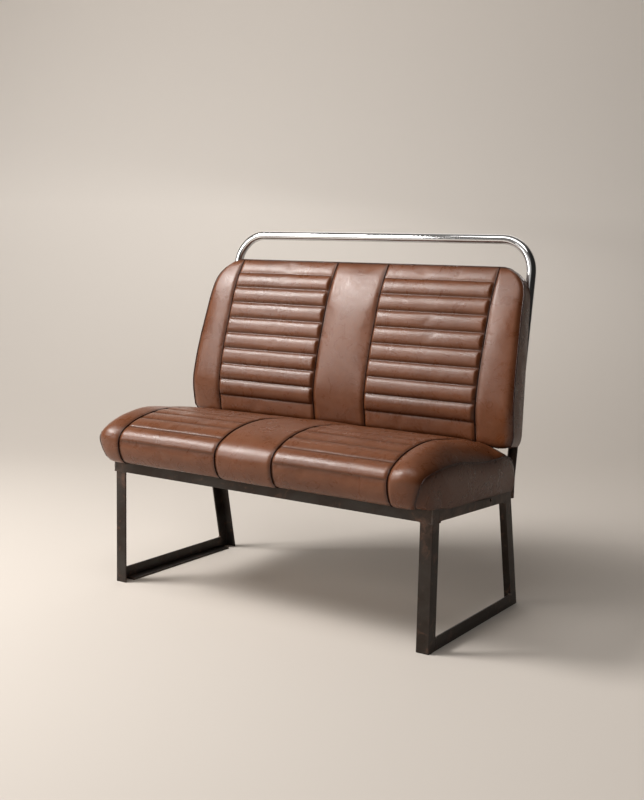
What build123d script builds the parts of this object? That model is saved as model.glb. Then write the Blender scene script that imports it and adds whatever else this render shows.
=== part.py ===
from build123d import *
from math import cos, radians, sin, sqrt, tan
import os

# Banquette: channelled leather seat and back on a base of welded steel angle, with a bent chrome
# grab rail over the back. Millimetres, +Z up, the front faces -Y, left is -X as seen from the front.
# The origin is on the floor, at the centre of the bounding box.

os.makedirs("parts", exist_ok=True)

# Steel angle base
angle_leg = 32
angle_wall = 4
base_width = 937
foot_depth = 473
frame_depth = 412
frame_height = 330
frame_fall = 20
rail_lap = 2
weld_size = 4
spare_hole_diameter = 7
spare_hole_setback = 120

# Posts and grab rail
overall_height = 931
tube_diameter = 24
tube_wall = 1.5
rail_inset = 11
rail_bend_radius = 85
post_foot_clearance = 4
post_bend_height = 332
post_bend_radius = 90
back_lean = 8.53
joint_rise = 150
sleeve_length = 90
sleeve_fit = 0.3

# Cushions, both
board_thickness = 12
hide_thickness = 2
wadding_thickness = 3
welt_width = 4
welt_stand = 1.5
soft_gap = 0.3

# Seat cushion
seat_nose = 72
seat_crown = 126
seat_overhang = 11.5
seat_end_height = 88
seat_side_lean = 3.5
seat_centre_panel_width = 166
seat_end_panel_width = 88
seat_flutes = 9
seat_flute_rise = 3.4
seat_board_overhang = 18
seat_board_rear_setback = 15
seat_board_side_setback = 0.5
seat_cover_rear_setback = 12
seat_screw_diameter = 4
seat_screw_length = 14
seat_screw_head_diameter = 9
seat_screw_head_height = 2.5

# Back cushion
back_rise = 88
back_height = 430
back_lumbar_depth = 101.5
back_overhang = 30.5
back_top_draw = 20
back_side_taper = 14
back_corner_radius = 74
back_foot_radius = 20
back_side_roll = 8
back_centre_panel_width = 158
back_side_panel_width = 103
back_flutes = 8
back_flute_rise = 7
back_bolt_diameter = 6
back_bolt_head_diameter = 13
back_bolt_head_height = 4
back_lower_bolt_rise = 83
back_upper_bolt_rise = 342
tee_nut_flange_diameter = 18
tee_nut_flange_thickness = 1.5
tee_nut_barrel_diameter = 8
tee_nut_length = 10

hole_play = 0.3
overrun = 30

# Sizes that follow
half_base = base_width / 2
tube_radius = tube_diameter / 2
bore_radius = tube_radius - tube_wall
half_rail = half_base - rail_inset
frame_slope = frame_fall / frame_depth
rear_underside = frame_height - frame_fall - angle_leg
leg_splay = (foot_depth - frame_depth) / rear_underside
lean_sine = sin(radians(back_lean))
lean_cosine = cos(radians(back_lean))
post_depth = frame_depth + tube_radius
rail_rise = (overall_height - tube_radius - post_bend_height) / lean_cosine
rail_reach = post_depth + rail_rise * lean_sine + tube_radius
plain_lift = wadding_thickness
hide_lift = -hide_thickness
welt_lift = wadding_thickness + welt_stand
front_y = (seat_nose + welt_lift - rail_reach) / 2
half_seat = half_base + seat_overhang
half_seat_board = half_base - seat_board_side_setback
seat_depth = seat_nose + frame_depth - seat_cover_rear_setback
seat_inner_seam = seat_centre_panel_width / 2
seat_outer_seam = half_seat - seat_end_panel_width
half_back = half_base + back_overhang
back_inner_seam = back_centre_panel_width / 2
back_outer_seam = half_back - back_side_panel_width


# Outlines as chains of tangent arcs
flute_shares = (0, 1 / 2, 1)


def follow(points, tangent):
    """Joints of a chain of tangent arcs through the points, each with the direction of travel."""
    joints = [(Vector(*points[0]), Vector(*tangent).normalized())]
    for point in points[1:]:
        start, heading = joints[-1]
        arc = Edge.make_tangent_arc(start, heading, Vector(*point))
        joints.append((arc @ 1, arc % 1))
    return joints


def both_ways(down_points, up_points, up_tangent):
    """One chain from the end of down_points to the end of up_points. Both start at one point."""
    heading = Vector(*up_tangent)
    down = follow(down_points, -heading)
    up = follow(up_points, heading)
    return [(point, -tangent) for point, tangent in reversed(down[1:])] + up


def lifted(joint, lift):
    """The joint moved to the left of its direction of travel."""
    point, tangent = joint
    return point + Vector(-tangent.Y, tangent.X) * lift


def lifted_arcs(joints, lift):
    """The chain at a constant distance from itself, as concentric arcs."""
    for here, there in zip(joints, joints[1:]):
        TangentArc(lifted(here, lift), lifted(there, lift), tangent=here[1])


def band(joints, low, high):
    """A strip of even thickness along a chain."""
    with BuildLine(Plane.XY) as outline:
        lifted_arcs(joints, low)
        lifted_arcs(joints, high)
        for joint in (joints[0], joints[-1]):
            Line(lifted(joint, low), lifted(joint, high))
    make_face(outline.edges())


def area(joints, lift, closing):
    """The area between a chain and a polyline that leads from its end back to its start."""
    with BuildLine(Plane.XY) as outline:
        lifted_arcs(joints, lift)
        Polyline(lifted(joints[-1], lift), *closing, lifted(joints[0], lift))
    make_face(outline.edges())


def fluted_band(joints, first, last, rise, count):
    """A cover strip with even padded flutes between two joints of a chain and wadding outside them."""
    spans = zip(joints[first:last], joints[first + 1:])
    run = Wire([Edge.make_tangent_arc(*here, there[0]) for here, there in spans])
    pitch = run.length / count
    with BuildLine(Plane.XY) as outline:
        lifted_arcs(joints, hide_lift)
        lifted_arcs(joints[:first + 1], plain_lift)
        lifted_arcs(joints[last:], plain_lift)
        for index in range(count):
            places = [(index + share) * pitch for share in flute_shares]
            seam, crest, next_seam = [
                run.position_at(place, position_mode=PositionMode.LENGTH) for place in places
            ]
            heading = run.tangent_at(places[1], position_mode=PositionMode.LENGTH)
            ThreePointArc(seam, crest + Vector(-heading.Y, heading.X) * rise, next_seam)
        for joint in (joints[first], joints[last]):
            Line(joint[0], lifted(joint, plain_lift))
        for joint in (joints[0], joints[-1]):
            Line(lifted(joint, hide_lift), lifted(joint, plain_lift))
    make_face(outline.edges())


def save(builder, node):
    """Labels one sub-part and writes it."""
    builder.part.label = node
    export_step(builder.part, f"parts/{node}.step")


def save_pair(right, node):
    """Writes a right-hand sub-part and its left-hand mirror image."""
    with BuildPart() as left:
        mirror(right.part, about=Plane.YZ)
    save(left, "left_" + node)
    save(right, "right_" + node)


# Seat frame plane and side planes

def frame_top(y):
    """Height of the seat frame's top at a distance behind the front of the legs."""
    return frame_height - frame_slope * y


def side_plane(x, height=0):
    """Upright plane across the bench: its first axis runs to the rear, its second one up."""
    return Plane(origin=(x, front_y, height), x_dir=(0, 1, 0), z_dir=(1, 0, 0))


frame_plane = Plane(origin=(0, front_y, frame_height), x_dir=(1, 0, 0), z_dir=(0, frame_slope, 1))
flange_plane = frame_plane.offset(-angle_wall)


# Legs, floor rails and seat frame

def angle_section(corner_y, rear_web):
    """Right-hand angle section, seen from above: a web on the outside and a flange at one end of it."""
    side = Align.MAX if rear_web else Align.MIN
    with Locations((half_base, corner_y)):
        Rectangle(angle_wall, angle_leg, align=(Align.MAX, side))
        Rectangle(angle_leg, angle_wall, align=(Align.MAX, side))


with BuildPart() as right_front_leg:
    with BuildSketch():
        angle_section(front_y, rear_web=False)
    extrude(amount=frame_height)
    split(bisect_by=flange_plane, keep=Keep.BOTTOM)
save_pair(right_front_leg, "front_leg")

with BuildPart() as right_rear_leg:
    for height in (0, frame_height):
        with BuildSketch(Plane.XY.offset(height)):
            angle_section(front_y + foot_depth - leg_splay * height, rear_web=True)
    loft(ruled=True)
    split(bisect_by=flange_plane, keep=Keep.BOTTOM)
    with BuildSketch(Plane.XY.offset(rear_underside)):
        with Locations((half_base - angle_wall, front_y + foot_depth)):
            Rectangle(angle_leg, foot_depth / 2, align=(Align.MAX, Align.MAX))
    extrude(amount=angle_leg + overrun, mode=Mode.SUBTRACT)
save_pair(right_rear_leg, "rear_leg")


def rear_web_front(height):
    """Distance behind the front of the legs of the front edge of a rear leg's web."""
    return foot_depth - angle_leg - leg_splay * height


with BuildPart() as right_floor_rail:
    for width, top in ((angle_wall, angle_leg), (angle_leg, angle_wall)):
        with BuildSketch(side_plane(half_base)):
            with BuildLine():
                Polyline(
                    (angle_leg, 0),
                    (rear_web_front(0), 0),
                    (rear_web_front(top), top),
                    (angle_leg, top),
                    close=True,
                )
            make_face()
        extrude(amount=-width)
save_pair(right_floor_rail, "floor_rail")

seat_screw_setback = angle_leg / 2
front_screw_y = seat_screw_setback - angle_wall
rear_screw_y = frame_depth - seat_screw_setback
side_screw_x = half_base - seat_screw_setback
side_screw_shares = (1 / 3, 2 / 3)
rail_screw_shares = (-2 / 3, 0, 2 / 3)
seat_screw_places = [
    (share * half_base, y) for y in (front_screw_y, rear_screw_y) for share in rail_screw_shares
]
seat_screw_places += [
    (side * side_screw_x, share * frame_depth) for side in (-1, 1) for share in side_screw_shares
]


def drill_seat_screws(plane, depth):
    """Screw holes square to the seat frame, upwards from a plane."""
    with BuildSketch(plane) as holes:
        with Locations(*seat_screw_places):
            Circle((seat_screw_diameter + hole_play) / 2)
    extrude(holes.sketch, amount=depth, mode=Mode.SUBTRACT)


with BuildPart() as front_rail:
    with BuildSketch(side_plane(-half_base - rail_lap)):
        with BuildLine():
            Polyline(
                (-angle_wall, frame_height - angle_leg),
                (0, frame_height - angle_leg),
                (0, frame_top(0) - angle_wall),
                (angle_leg - angle_wall, frame_top(angle_leg - angle_wall) - angle_wall),
                (angle_leg - angle_wall, frame_top(angle_leg - angle_wall)),
                (-angle_wall, frame_top(-angle_wall)),
                close=True,
            )
        make_face()
    extrude(amount=base_width + 2 * rail_lap)
    drill_seat_screws(flange_plane.offset(-overrun), 2 * overrun)
save(front_rail, "front_rail")

with BuildPart() as rear_rail:
    with BuildSketch(side_plane(angle_wall - half_base)):
        with BuildLine():
            Polyline(
                (frame_depth - angle_wall, rear_underside),
                (frame_depth, rear_underside),
                (frame_depth, frame_top(frame_depth) - angle_wall),
                (frame_depth - angle_wall, frame_top(frame_depth - angle_wall) - angle_wall),
                close=True,
            )
        make_face()
    extrude(amount=base_width - 2 * angle_wall)
    with BuildSketch(side_plane(angle_leg - half_base)):
        with BuildLine():
            Polyline(
                (frame_depth - angle_leg, frame_top(frame_depth - angle_leg) - angle_wall),
                (frame_depth, frame_top(frame_depth) - angle_wall),
                (frame_depth, frame_top(frame_depth)),
                (frame_depth - angle_leg, frame_top(frame_depth - angle_leg)),
                close=True,
            )
        make_face()
    extrude(amount=base_width - 2 * angle_leg)
    drill_seat_screws(flange_plane.offset(-overrun), 2 * overrun)
save(rear_rail, "rear_rail")


def web_end(drop):
    """Where the side rail's web, at a drop below the frame's top, meets the rear leg's web."""
    y = (foot_depth - angle_leg - leg_splay * (frame_height - drop)) / (1 - leg_splay * frame_slope)
    return y, frame_top(y) - drop


flange_start = angle_leg - angle_wall
spare_hole_y = frame_depth - spare_hole_setback
with BuildPart() as right_side_rail:
    with BuildSketch(side_plane(half_base)):
        with BuildLine():
            Polyline(
                (angle_leg, frame_top(angle_leg) - angle_leg),
                web_end(angle_leg),
                web_end(angle_wall),
                (angle_leg, frame_top(angle_leg) - angle_wall),
                close=True,
            )
        make_face()
    extrude(amount=-angle_wall)
    with BuildSketch(side_plane(half_base)):
        with BuildLine():
            Polyline(
                (flange_start, frame_top(flange_start) - angle_wall),
                (frame_depth, frame_top(frame_depth) - angle_wall),
                (frame_depth, frame_top(frame_depth)),
                (flange_start, frame_top(flange_start)),
                close=True,
            )
        make_face()
    extrude(amount=-angle_leg)
    with BuildSketch(side_plane(half_base)):
        with Locations((spare_hole_y, frame_top(spare_hole_y) - angle_leg / 2)):
            Circle(spare_hole_diameter / 2)
    extrude(amount=-angle_wall, mode=Mode.SUBTRACT)
    drill_seat_screws(flange_plane.offset(-overrun), 2 * overrun)
save_pair(right_side_rail, "side_rail")


# Posts, grab rail and sleeves

def at_back(x, rise, reach):
    """A point on the leaning back: rise up the posts from their bend, reach forward of their axes."""
    return Vector(
        x,
        front_y + post_depth + rise * lean_sine - reach * lean_cosine,
        post_bend_height + rise * lean_cosine + reach * lean_sine,
    )


def back_plane(reach):
    """Leaning plane of the back, seen from the front: its axes run to the right and up the posts."""
    return Plane(origin=at_back(0, 0, reach), x_dir=(1, 0, 0), z_dir=(0, -lean_cosine, lean_sine))


post_foot = rear_underside + post_foot_clearance
joint_point = back_rise + joint_rise
bolt_sides = (-1, 1)
bolt_rises = (back_rise + back_lower_bolt_rise, back_rise + back_upper_bolt_rise)
bolt_places = [(side * half_rail, rise) for side in bolt_sides for rise in bolt_rises]


def drill_bolt_holes(reach, diameter, depth):
    """Holes for the back bolts, square to the back, forward from a reach."""
    with BuildSketch(back_plane(reach)) as holes:
        with Locations(*bolt_places):
            Circle(diameter / 2)
    extrude(holes.sketch, amount=depth, mode=Mode.SUBTRACT)


with BuildPart() as right_back_post:
    with BuildLine(side_plane(half_rail)) as post_axis:
        FilletPolyline(
            (post_depth, post_foot),
            (post_depth, post_bend_height),
            (post_depth + joint_point * lean_sine, post_bend_height + joint_point * lean_cosine),
            radius=post_bend_radius,
        )
    with BuildSketch(Plane(origin=(half_rail, front_y + post_depth, post_foot))):
        Circle(tube_radius)
        Circle(bore_radius, mode=Mode.SUBTRACT)
    sweep()
    drill_bolt_holes(-tube_diameter, back_bolt_diameter + hole_play, 2 * tube_diameter)
save_pair(right_back_post, "back_post")

with BuildPart() as grab_rail:
    with BuildLine(back_plane(0)) as rail_axis:
        FilletPolyline(
            (-half_rail, joint_point),
            (-half_rail, rail_rise),
            (half_rail, rail_rise),
            (half_rail, joint_point),
            radius=rail_bend_radius,
        )
    with BuildSketch(Plane(origin=at_back(-half_rail, joint_point, 0), x_dir=(1, 0, 0),
                           z_dir=(0, lean_sine, lean_cosine))):
        Circle(tube_radius)
        Circle(bore_radius, mode=Mode.SUBTRACT)
    sweep()
    drill_bolt_holes(-tube_diameter, back_bolt_diameter + hole_play, 2 * tube_diameter)
save(grab_rail, "grab_rail")


def across_posts(x, rise):
    """Plane square to a post, at a rise along it."""
    return Plane(origin=at_back(x, rise, 0), x_dir=(1, 0, 0), z_dir=(0, lean_sine, lean_cosine))


with BuildPart() as rail_sleeves:
    for side in (-1, 1):
        with BuildSketch(across_posts(side * half_rail, joint_point - sleeve_length / 2)):
            Circle(bore_radius - sleeve_fit / 2)
        extrude(amount=sleeve_length)
save(rail_sleeves, "rail_sleeves")


# Weld beads
root_share = 1 / 3
toe_share = 5 / 6
crest_share = 2 / 3


def bead(plane, points, width):
    """One bead: a small triangle drawn out along its joint."""
    with BuildSketch(plane) as section:
        with BuildLine():
            Polyline(*points, close=True)
        make_face()
    extrude(section.sketch, amount=-width)


with BuildPart() as right_welds:
    bead(
        side_plane(half_base),
        (
            (0, frame_height - angle_leg),
            (-weld_size, frame_height - angle_leg),
            (0, frame_height - angle_leg - weld_size),
        ),
        angle_leg,
    )
    side_rail_foot = frame_top(angle_leg) - angle_leg
    bead(
        side_plane(half_base),
        (
            (angle_leg, side_rail_foot),
            (angle_leg + weld_size, frame_top(angle_leg + weld_size) - angle_leg),
            (angle_leg, side_rail_foot - weld_size),
        ),
        angle_wall,
    )
    rear_web_y, rear_web_z = web_end(angle_leg)
    bead(
        side_plane(half_base),
        (
            (rear_web_y, rear_web_z),
            (rear_web_front(rear_web_z - weld_size), rear_web_z - weld_size),
            (rear_web_y - weld_size, frame_top(rear_web_y - weld_size) - angle_leg),
        ),
        angle_wall,
    )
    bead(
        side_plane(half_base),
        ((angle_leg, angle_leg), (angle_leg, angle_leg + weld_size), (angle_leg + weld_size, angle_leg)),
        angle_wall,
    )
    bead(
        side_plane(half_base),
        (
            (rear_web_front(angle_leg), angle_leg),
            (rear_web_front(angle_leg) - weld_size, angle_leg),
            (rear_web_front(angle_leg + weld_size), angle_leg + weld_size),
        ),
        angle_wall,
    )
    with BuildSketch(Plane.XY.offset(post_foot)):
        for side in bolt_sides:
            with BuildLine():
                Polyline(
                    (half_rail + side * tube_radius * root_share, front_y + frame_depth),
                    (half_rail + side * tube_radius * toe_share, front_y + frame_depth),
                    (half_rail + side * tube_radius * crest_share, front_y + frame_depth + weld_size),
                    close=True,
                )
            make_face()
        with Locations((half_rail, front_y + post_depth)):
            Circle(tube_radius, mode=Mode.SUBTRACT)
    extrude(amount=frame_top(frame_depth) - post_foot)

with BuildPart() as corner_welds:
    add(right_welds.part)
    mirror(right_welds.part, about=Plane.YZ)
save(corner_welds, "corner_welds")


# Seat cushion
seat_down_shares = ((0, 0.452), (0.015, 0.230), (0.040, 0.103), (0.059, 0.056), (0.112, 0.028))
seat_up_shares = (
    (0, 0.452),
    (0.002, 0.524),
    (0.042, 0.730),
    (0.169, 0.921),
    (0.456, 1),
    (0.877, 0.760),
    (0.964, 0.643),
    (1, 0.444),
)
seat_end_down_shares = ((0.025, 0.437), (0.036, 0.222), (0.053, 0.103), (0.068, 0.060), (0.112, 0.028))
seat_end_up_shares = (
    (0.025, 0.437),
    (0.028, 0.500),
    (0.061, 0.635),
    (0.159, 0.706),
    (0.466, 0.651),
    (0.820, 0.563),
    (0.964, 0.460),
    (1, 0.317),
)
seat_first_seam = len(seat_down_shares)
seat_last_seam = seat_first_seam + 4
seat_section_shares = (0, 0.45, 0.8)
seat_drop_shares = (0, 0.07, 0.47)
seat_hem_shares = ((1, -0.220), (0.84, -0.180), (0.50, -0.130), (0.31, -0.100), (0.216, 0))


def seat_point(share):
    """A point of the seat's profile from its shares of the depth and of the crown over the frame."""
    return (share[0] * seat_depth - seat_nose, share[1] * seat_crown)


def seat_plane(x):
    """Upright plane across the seat at the height of the frame's front."""
    return side_plane(x, frame_height)


def seat_joints(drop):
    """The seat's profile on its way from the full crown to the lower ends."""
    def blend(inner_shares, outer_shares):
        return [
            seat_point([near + (far - near) * drop for near, far in zip(inner, outer)])
            for inner, outer in zip(inner_shares, outer_shares)
        ]
    return both_ways(
        blend(seat_down_shares, seat_end_down_shares),
        blend(seat_up_shares, seat_end_up_shares),
        (0, 1),
    )


def seat_end_plane(setback=0):
    """Leaning plane at the right-hand end of the seat."""
    lean = radians(seat_side_lean)
    foot_x = half_seat - welt_width - seat_end_height * tan(lean) - setback
    return Plane(origin=(foot_x, front_y, frame_height), x_dir=(0, 1, 0), z_dir=(cos(lean), 0, -sin(lean)))


seat_profile = seat_joints(0)
seat_end_profile = seat_joints(1)
seat_end_start = seat_outer_seam + welt_width / 2
seat_end_run = half_seat - welt_width - seat_end_start
seat_end_sections = [
    (seat_plane(seat_end_start + place * seat_end_run), seat_joints(drop))
    for place, drop in zip(seat_section_shares, seat_drop_shares)
]
seat_end_sections.append((seat_end_plane(), seat_end_profile))


def foam_foot(y):
    """Height of the foam's underside above the frame's front, clear of the seat board."""
    return frame_top(y) - frame_height + board_thickness + soft_gap


with BuildPart() as seat_board:
    with BuildSketch(frame_plane):
        with Locations((0, -seat_board_overhang)):
            Rectangle(
                2 * half_seat_board,
                seat_board_overhang + frame_depth - seat_board_rear_setback,
                align=(Align.CENTER, Align.MIN),
            )
    extrude(amount=board_thickness)
    drill_seat_screws(frame_plane, seat_screw_length - angle_wall)
save(seat_board, "seat_board")


foam_rear = seat_depth - seat_nose + hide_lift - soft_gap
foam_front = -seat_board_overhang - soft_gap
foam_closing = ((foam_rear, foam_foot(foam_rear)), (foam_front, foam_foot(foam_front)))
foam_lift = hide_lift - soft_gap
with BuildPart() as seat_foam_end:
    for plane, joints in seat_end_sections:
        with BuildSketch(plane):
            area(joints, foam_lift, foam_closing)
    loft()

with BuildPart() as seat_foam:
    with BuildSketch(seat_plane(-seat_end_start)):
        area(seat_profile, foam_lift, foam_closing)
    extrude(amount=2 * seat_end_start)
    add(seat_foam_end.part)
    mirror(seat_foam_end.part, about=Plane.YZ)
save(seat_foam, "seat_foam")

with BuildPart() as seat_centre_cover:
    with BuildSketch(seat_plane(welt_width / 2 - seat_inner_seam)):
        band(seat_profile, hide_lift, plain_lift)
    extrude(amount=seat_centre_panel_width - welt_width)
save(seat_centre_cover, "seat_centre_cover")

with BuildPart() as right_seat_fluted_cover:
    with BuildSketch(seat_plane(seat_inner_seam + welt_width / 2)):
        fluted_band(seat_profile, seat_first_seam, seat_last_seam, seat_flute_rise, seat_flutes)
    extrude(amount=seat_outer_seam - seat_inner_seam - welt_width)
save_pair(right_seat_fluted_cover, "seat_fluted_cover")

with BuildPart() as right_seat_end_cover:
    for plane, joints in seat_end_sections:
        with BuildSketch(plane):
            band(joints, hide_lift, plain_lift)
    loft()
save_pair(right_seat_end_cover, "seat_end_cover")

with BuildPart() as seat_panel_welts:
    for seam in (-seat_outer_seam, -seat_inner_seam, seat_inner_seam, seat_outer_seam):
        with BuildSketch(seat_plane(seam - welt_width / 2)):
            band(seat_profile, hide_lift, welt_lift)
    extrude(amount=welt_width)
save(seat_panel_welts, "seat_panel_welts")

with BuildPart() as right_seat_side_cover:
    with BuildSketch(seat_end_plane()):
        area(seat_end_profile, hide_lift / 2, [seat_point(share) for share in seat_hem_shares])
    extrude(amount=hide_thickness)
save_pair(right_seat_side_cover, "seat_side_cover")

with BuildPart() as right_seat_end_welt:
    with BuildSketch(seat_end_plane()):
        band(seat_end_profile, hide_lift / 2, welt_lift)
    extrude(amount=welt_width)
save_pair(right_seat_end_welt, "seat_end_welt")

with BuildPart() as seat_rear_cover:
    rear_cover_y = seat_depth - seat_nose + hide_lift
    rear_cover_foot = frame_top(rear_cover_y) + soft_gap
    rear_cover_top = frame_height + seat_up_shares[-1][1] * seat_crown - 2 * soft_gap
    rear_cover_end = frame_height + seat_end_up_shares[-1][1] * seat_crown - 2 * soft_gap
    with BuildSketch(Plane(origin=(0, front_y + rear_cover_y, 0), x_dir=(-1, 0, 0), z_dir=(0, 1, 0))):
        with BuildLine():
            Polyline(
                (-half_seat_board, rear_cover_foot),
                (half_seat_board, rear_cover_foot),
                (half_seat_board, rear_cover_end),
                (seat_end_start, rear_cover_top),
                (-seat_end_start, rear_cover_top),
                (-half_seat_board, rear_cover_end),
                close=True,
            )
        make_face()
    extrude(amount=hide_thickness + wadding_thickness)
save(seat_rear_cover, "seat_rear_cover")

with BuildPart() as seat_screws:
    with BuildSketch(flange_plane):
        with Locations(*seat_screw_places):
            Circle(seat_screw_diameter / 2)
    extrude(amount=seat_screw_length)
    with BuildSketch(flange_plane.offset(-seat_screw_head_height)):
        with Locations(*seat_screw_places):
            Circle(seat_screw_head_diameter / 2)
    extrude(amount=seat_screw_head_height)
save(seat_screws, "seat_screws")


# Back cushion: its profile is given as rises above its foot and depths in front of its rear
back_down_shares = ((0.221, 1), (0.095, 0.906), (0.019, 0.798), (-0.005, 0.690), (-0.007, 0.611))
back_up_shares = (
    (0.221, 1),
    (0.498, 0.916),
    (0.705, 0.788),
    (0.902, 0.571),
    (0.986, 0.414),
    (1.019, 0.345),
)
back_first_seam = len(back_down_shares) - 2
back_last_seam = len(back_down_shares) + 2
back_roll_shares = (0, 0.3, 1)
back_roll_place_shares = (0, 0.53, 1)


def back_joints(roll):
    """The back's profile, moved to the rear by a roll."""
    def place(shares):
        return [(rise * back_height, depth * back_lumbar_depth - roll) for rise, depth in shares]
    return both_ways(place(back_down_shares), place(back_up_shares), (1, 0))


def cushion_side_plane(x):
    """Plane across the back: its first axis runs up the cushion's rear, its second one forward."""
    foot = at_back(x, back_rise, tube_radius)
    return Plane(origin=foot, x_dir=(0, lean_sine, lean_cosine), z_dir=(1, 0, 0))


def cushion_plane(depth):
    """Plane of the back at a depth in front of the cushion's rear, seen from the front."""
    return Plane(
        origin=at_back(0, back_rise, tube_radius + depth),
        x_dir=(1, 0, 0),
        z_dir=(0, -lean_cosine, lean_sine),
    )


def back_outline(depth, inset):
    """The back's outline at a depth, drawn in by the taper of its sides and by an inset."""
    taper = back_side_taper * (1 - depth / back_lumbar_depth) + inset
    half_foot = half_back - taper
    half_top = half_back - back_top_draw - taper
    with BuildSketch(cushion_plane(depth)) as outline:
        with BuildLine():
            Polyline(
                (-half_foot, inset),
                (half_foot, inset),
                (half_top, back_height - inset),
                (-half_top, back_height - inset),
                close=True,
            )
        make_face()
        fillet(outline.vertices().group_by(Axis.Y)[0], back_foot_radius - inset)
        fillet(outline.vertices().group_by(Axis.Y)[-1], back_corner_radius - inset)
    return outline.sketch


def envelope(inset):
    """The tapering block within the back's outline, from its rear to in front of its face."""
    sections = [back_outline(depth, inset).faces()[0] for depth in (0, back_lumbar_depth + overrun)]
    return Solid.make_loft([face.outer_wire() for face in sections], ruled=True)


back_side_start = back_outer_seam + welt_width / 2
back_side_run = half_back + welt_width - back_side_start
back_profile = back_joints(0)
back_side_sections = [
    (cushion_side_plane(back_side_start + place * back_side_run), back_joints(share * back_side_roll))
    for place, share in zip(back_roll_place_shares, back_roll_shares)
]
cover_envelope = envelope(hide_thickness)


def fill_behind(joints, lift, rear):
    """The area between the face's profile and a depth in front of the cushion's rear."""
    area(joints, lift, ((joints[-1][0].X, rear), (joints[0][0].X, rear)))


with BuildPart() as right_back_block:
    for plane, joints in back_side_sections:
        with BuildSketch(plane):
            fill_behind(joints, hide_lift, 0)
    loft()

with BuildPart() as back_boxing:
    with BuildSketch(cushion_side_plane(-back_side_start)):
        fill_behind(back_profile, hide_lift, 0)
    extrude(amount=2 * back_side_start)
    add(right_back_block.part)
    mirror(right_back_block.part, about=Plane.YZ)
    add(envelope(0), mode=Mode.INTERSECT)
    add(cover_envelope, mode=Mode.SUBTRACT)
save(back_boxing, "back_boxing")

board_rear = hide_thickness + board_thickness
with BuildPart() as right_foam_block:
    for plane, joints in back_side_sections:
        with BuildSketch(plane):
            fill_behind(joints, foam_lift, board_rear + soft_gap)
    loft()

with BuildPart() as back_foam:
    with BuildSketch(cushion_side_plane(-back_side_start)):
        fill_behind(back_profile, foam_lift, board_rear + soft_gap)
    extrude(amount=2 * back_side_start)
    add(right_foam_block.part)
    mirror(right_foam_block.part, about=Plane.YZ)
    add(envelope(hide_thickness + soft_gap), mode=Mode.INTERSECT)
save(back_foam, "back_foam")

with BuildPart() as back_rear_cover:
    extrude(back_outline(0, hide_thickness), amount=hide_thickness)
    drill_bolt_holes(0, back_bolt_diameter + hole_play, tube_diameter)
save(back_rear_cover, "back_rear_cover")

with BuildPart() as back_board:
    extrude(back_outline(hide_thickness, hide_thickness + soft_gap), amount=board_thickness)
    drill_bolt_holes(0, tee_nut_barrel_diameter + hole_play, 2 * tube_diameter)
    drill_bolt_holes(
        tube_radius + board_rear - tee_nut_flange_thickness,
        tee_nut_flange_diameter + hole_play,
        tee_nut_flange_thickness,
    )
save(back_board, "back_board")

with BuildPart() as back_centre_cover:
    with BuildSketch(cushion_side_plane(welt_width / 2 - back_inner_seam)):
        band(back_profile, hide_lift, plain_lift)
    extrude(amount=back_centre_panel_width - welt_width)
    add(cover_envelope, mode=Mode.INTERSECT)
save(back_centre_cover, "back_centre_cover")

with BuildPart() as right_back_fluted_cover:
    with BuildSketch(cushion_side_plane(back_inner_seam + welt_width / 2)):
        fluted_band(back_profile, back_first_seam, back_last_seam, back_flute_rise, back_flutes)
    extrude(amount=back_outer_seam - back_inner_seam - welt_width)
    add(cover_envelope, mode=Mode.INTERSECT)
save_pair(right_back_fluted_cover, "back_fluted_cover")

with BuildPart() as right_back_side_cover:
    for plane, joints in back_side_sections:
        with BuildSketch(plane):
            band(joints, hide_lift, plain_lift)
    loft()
    add(cover_envelope, mode=Mode.INTERSECT)
save_pair(right_back_side_cover, "back_side_cover")

with BuildPart() as back_panel_welts:
    for seam in (-back_outer_seam, -back_inner_seam, back_inner_seam, back_outer_seam):
        with BuildSketch(cushion_side_plane(seam - welt_width / 2)):
            band(back_profile, hide_lift, welt_lift)
    extrude(amount=welt_width)
    add(cover_envelope, mode=Mode.INTERSECT)
save(back_panel_welts, "back_panel_welts")

with BuildPart() as right_welt_band:
    for plane, joints in back_side_sections:
        with BuildSketch(plane):
            band(joints, hide_lift, welt_lift)
    loft()

with BuildPart() as back_edge_welt:
    with BuildSketch(cushion_side_plane(-back_side_start)):
        band(back_profile, hide_lift, welt_lift)
    extrude(amount=2 * back_side_start)
    add(right_welt_band.part)
    mirror(right_welt_band.part, about=Plane.YZ)
    add(envelope(-welt_stand), mode=Mode.INTERSECT)
    add(cover_envelope, mode=Mode.SUBTRACT)
save(back_edge_welt, "back_edge_welt")

with BuildPart() as back_bolts:
    for x, rise in bolt_places:
        seat_of_head = at_back(x, rise, -tube_radius)
        with BuildSketch(Plane(origin=seat_of_head, x_dir=(0, lean_sine, lean_cosine), z_dir=(1, 0, 0))):
            with BuildLine():
                TangentArc((0, -back_bolt_head_height), (back_bolt_head_diameter / 2, 0), tangent=(1, 0))
                Polyline(
                    (back_bolt_head_diameter / 2, 0),
                    (back_bolt_diameter / 2, 0),
                    (back_bolt_diameter / 2, tube_diameter + board_rear),
                    (0, tube_diameter + board_rear),
                    (0, -back_bolt_head_height),
                )
            make_face()
        revolve(axis=Axis(seat_of_head, (0, -lean_cosine, lean_sine)))
save(back_bolts, "back_bolts")

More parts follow.
